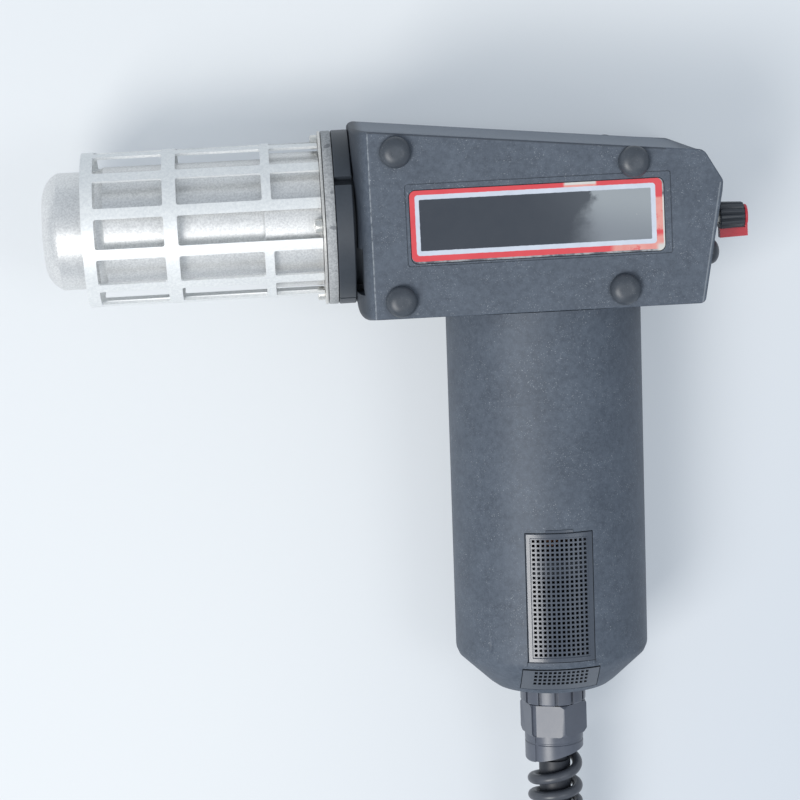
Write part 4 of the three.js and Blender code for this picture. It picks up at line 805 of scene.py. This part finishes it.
# Places along the heater axis, from the head forwards
NECK_BACK = HEAD_FRONT - 0.3
NECK_FRONT = NECK_BACK - 6.8
GASKET_FRONT = NECK_FRONT - 4.0
FLANGE_FRONT = GASKET_FRONT - 1.3
CAGE_END = FLANGE_FRONT - 0.3
NECK_RADIUS = 34.5
NECK_SLOTS = [(-28.5, 3.6, 4.5), (63.5, 0.9, 2)]
FLANGE_RADIUS = 34.4
CAGE_RADIUS = 30.6
CAGE_SHEET = 1.1
CAGE_BARS = 12
BAR_ANGLE = 14
FRONT_RING = (-180.7, -175.9)
MID_RING = (-149, -143.7)
REAR_RING = (-110.6, -107)
WINDOW_HALF = 5.83
TUBE_TIP = -197
TUBE_RADIUS = 24.6
COLLAR_RADIUS = 26.6
NOSE_ARC = (13.5, -186.6)
NOSE_ARC_RADIUS = 10.6


def guard_cage():
    sheet = turned([(CAGE_RADIUS - CAGE_SHEET, FRONT_RING[0]), (CAGE_RADIUS, FRONT_RING[0]),
                    (CAGE_RADIUS, CAGE_END), (CAGE_RADIUS - CAGE_SHEET, CAGE_END)], "x", 144)
    windows = []
    for i in range(CAGE_BARS):
        bays = [(FRONT_RING[1], MID_RING[0]), (MID_RING[1], REAR_RING[0]), (REAR_RING[1], CAGE_END + 4)]
        if i == 0:
            bays = [bays[0], (MID_RING[1], CAGE_END + 4)]
        for low, high in bays:
            window = slab(rectangle(low, high, -WINDOW_HALF, WINDOW_HALF, 0.9, 4), 20, 40)
            windows.append(moved(window, about("X", BAR_ANGLE - 15 + 30 * i)))
    return combined(sheet, [together(windows)])


def neck_ring():
    outer, spigot, throat = NECK_RADIUS, NECK_SPIGOT, TUBE_RADIUS + 0.3
    neck = turned([(21.5, NECK_BACK + 6), (21.5, NECK_FRONT + 5.3), (throat, NECK_FRONT + 5.3),
                   (throat, NECK_FRONT), (outer - 0.4, NECK_FRONT), (outer, NECK_FRONT + 0.4),
                   (outer, NECK_BACK - 0.4), (outer - 0.4, NECK_BACK), (spigot, NECK_BACK),
                   (spigot, NECK_BACK + 6)], "x", 128)
    slots = []
    for angle, width, depth in NECK_SLOTS:
        for turn in (angle, angle + 180):
            slot = block(NECK_FRONT - 1, NECK_BACK + 0.5, -width / 2, width / 2, outer - depth, outer + 1.5)
            slots.append(moved(slot, about("X", turn)))
    return combined(neck, [together(slots)])


def washer(front, thickness, edge):
    """Flat ring around the heater tube with small chamfers on its rim."""
    bore, rim, back = TUBE_RADIUS + 0.3, FLANGE_RADIUS, front + thickness
    return turned([(bore, front), (rim - 0.2, front), (rim, front + edge), (rim, back - edge),
                   (rim - 0.2, back), (bore, back)], "x", 128)


def flange_screw():
    front = CAGE_END - 2.7
    head = turned([(0, front), (2.1, front), *arc((2.1, front + 0.7), 0.7, -90, 0, 5)[1:], (2.8, CAGE_END),
                   (1.6, CAGE_END), (1.6, NECK_FRONT + 5), (0, NECK_FRONT + 5)], "x", 32)
    return combined(head, [block(front - 1, front + 1.1, -1.8, 1.8, -0.35, 0.35)])


def heater_barrel():
    collar, bore = CAGE_END - 22.4, TUBE_RADIUS - 1.3
    profile = [(15.9, TUBE_TIP + 0.25), *arc(NOSE_ARC, NOSE_ARC_RADIUS, -76, -23.8, 12)]
    profile += [(23.2, -175.5), (23.5, -174.9), (24.3, -173.1), (TUBE_RADIUS, -172.5),
                (TUBE_RADIUS, collar - 0.4), (TUBE_RADIUS + 0.2, collar - 0.1),
                (COLLAR_RADIUS - 0.3, collar + 0.1), (COLLAR_RADIUS, collar + 0.4),
                (COLLAR_RADIUS, CAGE_END), (TUBE_RADIUS, CAGE_END), (TUBE_RADIUS, NECK_FRONT + 5),
                (bore, NECK_FRONT + 5), (bore, -172.5), (21.9, -175.5)]
    profile += [*arc(NOSE_ARC, NOSE_ARC_RADIUS - 1.3, -26, -74, 8), (15.9, TUBE_TIP + 1.4)]
    return turned(profile, "x", 160)


def ceramic_block():
    core = turned([(0, -184), (20.1, -184), (20.5, -183.6), (20.5, -100), (0, -100)], "x", 96)
    bores = [rod(6, -185, -99, "x")]
    bores += [moved(rod(3.4, -185, -99, "x", 32), about("X", 60 * k) @ Matrix.Translation((0, 0, 13)))
              for k in range(6)]
    return combined(core, [together(bores)])


def heating_coil():
    start, turns, lead, pitch, radius = -180, 5, 1.8, 14, 4.6
    wire = [(start, radius, 0), (start + lead, radius, 0)]
    for k in range(1, turns * 32):
        angle = 2 * math.pi * k / 32
        wire.append((start + lead + pitch * k / 32, radius * math.cos(angle), radius * math.sin(angle)))
    end = start + lead + pitch * turns
    return [*wire, (end, radius, 0), (end + lead, radius, 0)]


def make_heater():
    piece("neck_ring", neck_ring(), NECK_BLACK, ["neck"], bevel=0.2)
    piece("gasket", washer(GASKET_FRONT, 3.7, 0.3), FIBRE, ["flange_gasket"])
    piece("flange_disc", washer(FLANGE_FRONT, 1, 0.2), FLANGE_STEEL, ["heater_flange"])
    for k in range(4):
        place = about("X", 1 + 90 * k) @ Matrix.Translation((0, 0, 30.2))
        piece(f"flange_screw_head_{k + 1}", moved(flange_screw(), place), SCREW_METAL,
              [f"flange_screw_{k + 1}"])
    piece("heater_barrel", heater_barrel(), TUBE_STEEL, ["heater_tube"], sharp=18)
    mica = turned([(20.8, -188), (21.6, -188), (21.6, -100), (20.8, -100)], "x", 96)
    piece("mica_roll", mica, MICA, ["mica_sleeve"])
    piece("ceramic_block", ceramic_block(), CERAMIC, ["ceramic_core"], bevel=0.2)
    dressed(tube("heating_coil", heating_coil(), 0.9, TOOL), WIRE, ["heating_element"])
    piece("cage_sheet", guard_cage(), CAGE_ALLOY, ["guard_cage"], sharp=28, bevel=0.18)


def tube(name, points, radius, where):
    """Round curve through points."""
    curve = bpy.data.curves.new(name, "CURVE")
    curve.dimensions = "3D"
    curve.bevel_depth = radius * MM
    curve.bevel_resolution = 6
    curve.use_fill_caps = True
    spline = curve.splines.new("POLY")
    spline.points.add(len(points) - 1)
    for point, place in zip(spline.points, points):
        point.co = (*(where @ Vector(place)), 1)
    spline.use_smooth = True
    return linked(name, curve)


# Handle, in its own leaning frame
CHAMFER = Vector((CHAMFER_RADIUS - HANDLE_RADIUS, CHAMFER_END - CHAMFER_START)).normalized()


def on_chamfer(y, into=0.0):
    """(radius, height) on the handle's chamfer at a height, moved inwards by a distance."""
    along = (y - CHAMFER_START) / CHAMFER.y
    place = Vector((HANDLE_RADIUS, CHAMFER_START)) + CHAMFER * along
    place += Vector((CHAMFER.y, -CHAMFER.x)) * into
    return (place.x, place.y)


def handle_tube():
    bore, floor = HANDLE_RADIUS - HANDLE_WALL, HANDLE_END + 4
    bore_end = CHAMFER_START - HANDLE_WALL * (1 + CHAMFER.y) / CHAMFER.x
    floor_radius = HANDLE_RADIUS + (HANDLE_WALL + (floor - CHAMFER_START) * CHAMFER.x) / CHAMFER.y
    profile = [(bore, -30), (HANDLE_RADIUS, -30), (HANDLE_RADIUS, CHAMFER_START + 2.2)]
    profile += [(HANDLE_RADIUS - 0.15, CHAMFER_START + 1.1), (HANDLE_RADIUS - 0.6, CHAMFER_START + 0.1),
                on_chamfer(CHAMFER_START - 1), on_chamfer(CHAMFER_END + 0.6),
                (CHAMFER_RADIUS - 0.25, CHAMFER_END - 0.2), (END_RADIUS + 0.5, HANDLE_END + 0.4),
                (END_RADIUS, HANDLE_END), (10.3, HANDLE_END), (10.3, floor), (floor_radius, floor),
                (bore, bore_end)]
    tube_form = turned(profile, "y", 180)
    lean = about("Z", math.degrees(HANDLE_LEAN))
    heads = [moved(head_form(0.25, False), lean), moved(moved(head_form(0.25, False), MIRROR_Z), lean)]
    x0, x1, y0, y1 = COVER_BOX
    seat = block(x0 - 0.3, x1 + 0.3, y0 - 0.3, y1 + 0.3, 0, HANDLE_RADIUS + 5)
    seat = combined(seat, [rod(HANDLE_RADIUS - 2, CHAMFER_END, -30, "y", 180)])
    through = block(x0 + 2, x1 - 2, y0 + 2, y1 - 2, 5, HANDLE_RADIUS + 5)
    low, high, deep = STRIP_BOTTOM - 0.3, STRIP_TOP + 0.3, 1.7
    cone = turned([on_chamfer(high, -5), on_chamfer(low, -5),
                   on_chamfer(low, deep), on_chamfer(high, deep)], "y", 180)
    wide = STRIP_HALF + 0.3
    strip = combined(cone, [block(-wide, wide, -201, -174, 5, 45)], "INTERSECT")
    dent = bmesh.new()
    bmesh.ops.create_uvsphere(dent, u_segments=32, v_segments=16, radius=1)
    moved(dent, about("Y", -44) @ Matrix.Translation((0, -172, 40.2)) @ Matrix.Diagonal((1.6, 4.2, 1.7, 1)))
    lines = [block(x - 0.2, x + 0.2, CHAMFER_START - 0.5, y0 + 0.2, 36.4, 40) for x in (-13.6, 13.6)]
    return combined(tube_form, [*heads, seat, through, strip, dent, *lines])


def round_sheet(rows, holes, inner_radius):
    """Sheet over a round form, from rows of (x, y, radius), with square holes and a given underside."""
    bm = bmesh.new()
    grid = [[bm.verts.new((x, y, math.sqrt(r * r - x * x))) for x, y, r in row] for row in rows]
    for j, (row, after) in enumerate(zip(grid, grid[1:])):
        for i in range(len(row) - 1):
            if not holes(i, j):
                bm.faces.new((row[i], row[i + 1], after[i + 1], after[i]))
    made = bmesh.ops.extrude_face_region(bm, geom=bm.faces[:], use_keep_orig=True)
    for vert in [item for item in made["geom"] if isinstance(item, bmesh.types.BMVert)]:
        radius = math.hypot(vert.co.x, vert.co.z)
        share = inner_radius(vert.co.x, radius) / radius
        vert.co.x *= share
        vert.co.z *= share
    bmesh.ops.recalc_face_normals(bm, faces=bm.faces)
    return bm


def spans(start, end, count, bar):
    """Edges of equal holes between bars, from start to end."""
    pitch = (end - start + bar) / count
    return [at for k in range(count) for at in (start + k * pitch, start + (k + 1) * pitch - bar)]


def filter_cover():
    """Curved cover with a raised rim, a mesh of square holes and a small tab at its upper end."""
    x0, x1, y0, y1 = COVER_BOX
    rim, bar = 1.9, 0.72
    proud, skin = HANDLE_RADIUS + 0.4, HANDLE_RADIUS + 0.05
    across = [x0, x0 + 0.25, x0 + rim - 0.3, x0 + rim, *spans(x0 + rim + 0.5, x1 - rim - 0.5, 12, bar),
              x1 - rim, x1 - rim + 0.3, x1 - 0.25, x1]
    meshed_part = [y0 + y1 - y for y in spans(y0 + rim + 0.5, y1 - rim - 0.5, 26, bar)]
    down = [y1, y1 - 0.25, y1 - rim + 0.3, y1 - rim, *meshed_part,
            y0 + rim, y0 + rim - 0.3, y0 + 0.25, y0]

    def radius(i, j):
        edge = min(i, j, len(across) - 1 - i, len(down) - 1 - j)
        return proud - 0.2 if edge == 0 else proud if edge < 3 else skin

    def holes(i, j):
        inner = 4 <= i < len(across) - 5 and 4 <= j < len(down) - 5
        return inner and i % 2 == 0 and j % 2 == 0

    def inner_radius(x, outer):
        return HANDLE_RADIUS - 1.7 if min(x - x0, x1 - x) < rim else outer - 1.0

    rows = [[(x, y, radius(i, j)) for i, x in enumerate(across)] for j, y in enumerate(down)]
    band = turned([(39.25, y1 + 0.35), (39.75, y1 + 0.35), (39.6, y1 + 1.3), (39.25, y1 + 1.4)], "y", 180)
    tab = combined(band, [block(-5.4, 5.4, y1, y1 + 2, 20, 45)], "INTERSECT")
    return together([round_sheet(rows, holes, inner_radius), tab])


def end_grille():
    across = [-STRIP_HALF, -13, *spans(-10.8, 10.8, 12, 0.64), 13, STRIP_HALF]
    heights = [STRIP_TOP, STRIP_TOP - 0.3, *spans(STRIP_TOP - 8, STRIP_TOP - 0.7, 4, 0.8)[::-1],
               STRIP_TOP - 9, STRIP_BOTTOM]
    rows = [[(x, y, radius) for x in across] for radius, y in map(on_chamfer, heights)]

    def holes(i, j):
        return 2 <= i < len(across) - 3 and 2 <= j < len(heights) - 3 and i % 2 == 0 and j % 2 == 0

    return round_sheet(rows, holes, lambda x, outer: outer - 1.4)


def make_handle():
    piece("handle_shell", handle_tube(), CASING, ["handle_tube"], HANDLE, sharp=30)
    piece("filter_mesh", filter_cover(), GRILLE_BLACK, ["filter_cover"], HANDLE, "filter",
          sharp=30)
    piece("chamfer_mesh", end_grille(), STRIP_GREY, ["end_grille"], HANDLE, sharp=30)


def gland_collar():
    top, bottom = GLAND_COLLAR
    collar = turned([(BORE, HANDLE_END + 11), (10, HANDLE_END + 11), (10, top), (13.1, top),
                     (13.4, top - 0.3), (13.4, bottom + 0.5), (13.0, bottom), (BORE, bottom)], "y", 96)
    notches = [moved(block(12.2, 15, bottom - 1, top - 1.4, -0.7, 0.7), about("Y", 30 * k))
               for k in range(12)]
    return combined(collar, [together(notches)])


def gland_nut():
    """Hexagon with turned-off corners on a grooved round tail, whose end is cut at a slant."""
    top, bottom = GLAND_HEX
    corner = HEX_HALF / math.cos(math.pi / 6)
    prism = moved(turned([(0, top), (corner, top), (corner, bottom - 0.2), (0, bottom - 0.2)], "y", 6),
                  about("Y", HEX_TURN))
    round_form = turned([(0, top), (corner - 0.9, top), (corner, top - 1.3), (corner, bottom + 1.3),
                         (corner - 0.9, bottom - 0.2), (0, bottom - 0.2)], "y", 96)
    nut = combined(prism, [round_form], "INTERSECT")
    tail = turned([(0, bottom), (HEX_HALF, bottom), (HEX_HALF, bottom - 3), (11.7, bottom - 3.3),
                   (11.7, bottom - 3.8), (HEX_HALF, bottom - 4.1),
                   *arc((10.8, GLAND_END + 1.2), 1.2, 0, -90, 5), (0, GLAND_END)], "y", 96)
    slant = moved(block(-40, 40, -20, 0, -20, 20),
                  Matrix.Translation((-HEX_HALF, GLAND_END, 0)) @ about("Z", TAIL_SLANT))
    nut = combined(nut, [combined(tail, [slant])], "UNION")
    seams = [moved(block(-0.9, 0.9, bottom, top + 1, 12.7, 16), about("Y", -43)),
             moved(block(-0.7, 0.7, GLAND_END - 1, bottom - 0.5, 11.6, 16), about("Y", -43))]
    return combined(nut, [rod(BORE, GLAND_END - 1, top + 1, "y", 64), *seams])


def kink_sleeve():
    """Sleeve around the cord, with a core that fills the nut's bore behind the slanted tail."""
    start, end = SLEEVE_START, SLEEVE_START - SLEEVE_LENGTH
    return turned([(0, start + 8), (5.1, start + 8), (5.1, start), (6.5, start), (6.5, end + 6),
                   (6.15, end), (5.15, end), (5.15, start - 0.4), (4.8, start - 0.4),
                   (4.8, start + 0.1), (0, start + 0.1)], "y", 64)


def kink_spiral():
    """Points of the wire: its first turn rises to the slanted tail and its end runs straight."""
    lead, pitch, radius, steps = 4.2, 7.1, 9.3, 48
    turns = (SLEEVE_LENGTH - 2 * lead - pitch) / pitch
    wire = []
    for k in range(-25, round(turns * steps) + 1):
        angle = 2 * math.pi * k / steps
        rise = 0.0049 * max(12 - k, 0) ** 2
        wire.append((-radius * math.sin(angle), SLEEVE_START - lead - pitch * (0.3 + k / steps) + rise,
                     radius * math.cos(angle)))
    x, y, z = wire[-1]
    return [*wire, (x * 0.995 + 0.4, y - 2.6, z), (x * 0.995 + 0.4, SLEEVE_START - SLEEVE_LENGTH, z)]


def make_gland():
    piece("gland_collar", gland_collar(), GLAND_BLACK, ["gland_body"], HANDLE, bevel=0.15)
    piece("gland_cap_nut", gland_nut(), GLAND_BLACK, ["gland_nut"], HANDLE, bevel=0.2)
    # The sleeve shows between the spiral's turns, darkened as painted shade.
    piece("kink_tube", kink_sleeve(), SHADED_KINK_CORE, ["kink_sleeve"], HANDLE)
    dressed(tube("kink_coil", kink_spiral(), 2.1, HANDLE), CORD_BLACK, ["kink_spiral"])


# Cord put away beside the tool, in the world's own millimetres
COIL_OUTER = 76.5
COIL_PITCH = 10.3
COIL_TURNS = 7.5
COIL_FALL = 112
PLUG_RADIUS = 17.5
PLUG_NECK = 14
PLUG_FACE = PLUG_NECK + 38
PIN_PLACES = (-9.5, 9.5)


def smooth_line(points, steps=12):
    """Centripetal curve through points, steps to a stretch."""
    padded = [points[0] * 2 - points[1], *points, points[-1] * 2 - points[-2]]
    made = []
    for p0, p1, p2, p3 in zip(padded, padded[1:], padded[2:], padded[3:]):
        t1 = (p1 - p0).length ** 0.5
        t2 = t1 + (p2 - p1).length ** 0.5
        t3 = t2 + (p3 - p2).length ** 0.5
        for k in range(steps):
            t = t1 + (t2 - t1) * k / steps
            early = p0.lerp(p1, t / t1)
            middle = p1.lerp(p2, (t - t1) / (t2 - t1))
            late = p2.lerp(p3, (t - t2) / (t3 - t2))
            first = early.lerp(middle, t / t2)
            second = middle.lerp(late, (t - t1) / (t3 - t1))
            made.append(first.lerp(second, (t - t1) / (t2 - t1)))
    return [*made, points[-1]]


def coil_line(start, steps=48):
    """Spiral in along the floor and out again a layer higher."""
    centre = Vector((start.x - COIL_OUTER, start.y, 0))
    total = round(COIL_TURNS * steps)
    line = [Vector((start.x, start.y + 2 * CORD_RADIUS, CORD_RADIUS))]
    for k in range(total + 1):
        angle = -2 * math.pi * k / steps
        radius = COIL_OUTER - COIL_PITCH * min(k, total - k) / steps
        share = min(max((k - (total - steps / 2) / 2) / (steps / 2), 0), 1)
        rise = share * share * (3 - 2 * share)
        line.append(Vector((centre.x + radius * math.cos(angle), centre.y + radius * math.sin(angle),
                            CORD_RADIUS + COIL_PITCH * rise)))
    line.append(line[-1] + Vector((0, 2 * CORD_RADIUS, 0)))
    return line


def cord_points():
    """The cord's whole run, from the sleeve to the plug, and the point where it enters the plug."""
    to_world = Matrix.Scale(1 / MM, 4) @ HANDLE
    leave, sleeve_end, bend = [to_world @ Vector((0, SLEEVE_START - down, 0)) for down in (0, 65.7, 77.7)]
    coil = coil_line(Vector((bend.x - 2, bend.y - COIL_FALL, CORD_RADIUS)))
    meet, end = coil[0], coil[-1]
    lead = smooth_line([leave, leave.lerp(sleeve_end, 0.5), sleeve_end, bend,
                        bend + Vector((-0.5, -24, -6)), meet + Vector((1.2, 40, 8)),
                        meet + Vector((0.3, 20, 1.2)), meet])
    entry = Vector((end.x, end.y + 44, PLUG_RADIUS))
    tail = smooth_line([end, end + Vector((0, 10, 0)), entry - Vector((0, 12, 0)),
                        entry + Vector((0, 2, 0))])
    return [*lead[:-1], *coil, *tail[1:]], entry


def plug_moulding():
    """Ribbed neck, cone and round body, from the cord's entry at zero."""
    profile = [(0, 0), (6.3, 0), (6.6, 0.4)]
    for k in range(5):
        y = 1.6 + 2.4 * k
        r = 6.5 + 1.4 * y / PLUG_NECK
        profile += [(r, y), (r, y + 1.1), (r - 0.6, y + 1.3), (r - 0.6, y + 2.2)]
    profile += [(8, PLUG_NECK), (9, PLUG_NECK + 1), (16.6, PLUG_NECK + 6), (17.3, PLUG_NECK + 7.2),
                (PLUG_RADIUS, PLUG_NECK + 8.5), (PLUG_RADIUS, PLUG_FACE - 1), (PLUG_RADIUS - 1, PLUG_FACE),
                (0, PLUG_FACE)]
    holes = [shifted(rod(2.7, PLUG_FACE - 12.3, PLUG_FACE + 1, "y", 32), x) for x in PIN_PLACES]
    return combined(turned(profile, "y", 96), holes)


def plug_pins():
    tip = PLUG_FACE + 17.6
    profile = [(0, PLUG_FACE - 12), (2.4, PLUG_FACE - 12), *arc((1.0, tip), 1.4, 0, 90, 6), (0, tip + 1.4)]
    return together([shifted(turned(profile, "y", 40), x) for x in PIN_PLACES])


def make_cord():
    points, entry = cord_points()
    cord = tube("mains_cord", points, CORD_RADIUS, WORLD)
    dressed(cord, CORD_BLACK, ["cord_lead", "cord_coil", "cord_tail"])
    place = WORLD @ Matrix.Translation(entry)
    plug = piece("plug_moulding", plug_moulding(), PLUG_BLACK, ["plug_body"], place)
    metal = piece("plug_contacts", plug_pins(), SCREW_METAL, ["plug_pins"], place)
    points[0] * MM


INNER = {
    SCREW_METAL: ["case_screw_1", "case_screw_2", "case_screw_3", "case_screw_4", "potentiometer_shaft",
                  "bearing_upper", "bearing_lower", "motor_shaft"],
    KNOB_BLACK: ["potentiometer", "power_switch", "impeller"],
    BOARD: ["control_board"],
    LAMINATIONS: ["field_core", "armature_core"],
    COPPER: ["field_winding", "commutator"],
    CASING: ["joining_ring", "end_bell_upper", "end_bell_lower"],
    CARBON: ["brush_left", "brush_right"],
    GLAND_BLACK: ["gland_lock_nut"],
}


def dress_inner_pieces():
    for material, names in INNER.items():
        for name in names:
            node = frame["nodes"][name]
            node.data.materials.clear()
            node.data.materials.append(material)


def make_stage():
    floor_paint = Shader("floor_paint", roughness=0.8, emission_color=(0.796, 0.888, 1.0),
                         emission_strength=0.309)
    x, y, _ = floor_paint.axes()
    # Painted shade: the floor's colour darkens towards +X and +Y, away from the key lamp.
    across = floor_paint.step(x - y * 0.6, -0.06, 0.34)
    floor_paint.set("Base Color", floor_paint.mix(across, (0.50, 0.502, 0.497), (0.37, 0.388, 0.415)))
    bm = bmesh.new()
    bmesh.ops.create_grid(bm, x_segments=2, y_segments=2, size=4)
    floor = meshed("floor", bm)
    floor.data.materials.append(floor_paint.material)
    world = bpy.data.worlds.new("room")
    world.use_nodes = True
    color, strength = world.node_tree.nodes["Background"].inputs[:2]
    color.default_value = (0.8235, 0.9069, 1.0, 1)
    strength.default_value = 0.6324
    bpy.context.scene.world = world
    bpy.context.scene.view_settings.view_transform = "Standard"
    add_lamp("key", (-1.08, -0.8, 1.9), 1.0, 38, (1, 0.985, 0.96))
    add_lamp("fill", (0.9, -0.2, 1.9), 0.7, 5, (0.95, 0.98, 1.0))


def add_lamp(name, place, size, watts, color):
    light = bpy.data.lights.new(name, "AREA")
    light.size = size
    light.energy = watts
    light.color = color
    lamp = linked(name, light)
    lamp.location = place
    lamp.rotation_euler = (-Vector(place)).to_track_quat("-Z", "Y").to_euler()


make_head()
make_controls()
make_heater()
make_handle()
make_gland()
make_cord()
dress_inner_pieces()
make_stage()
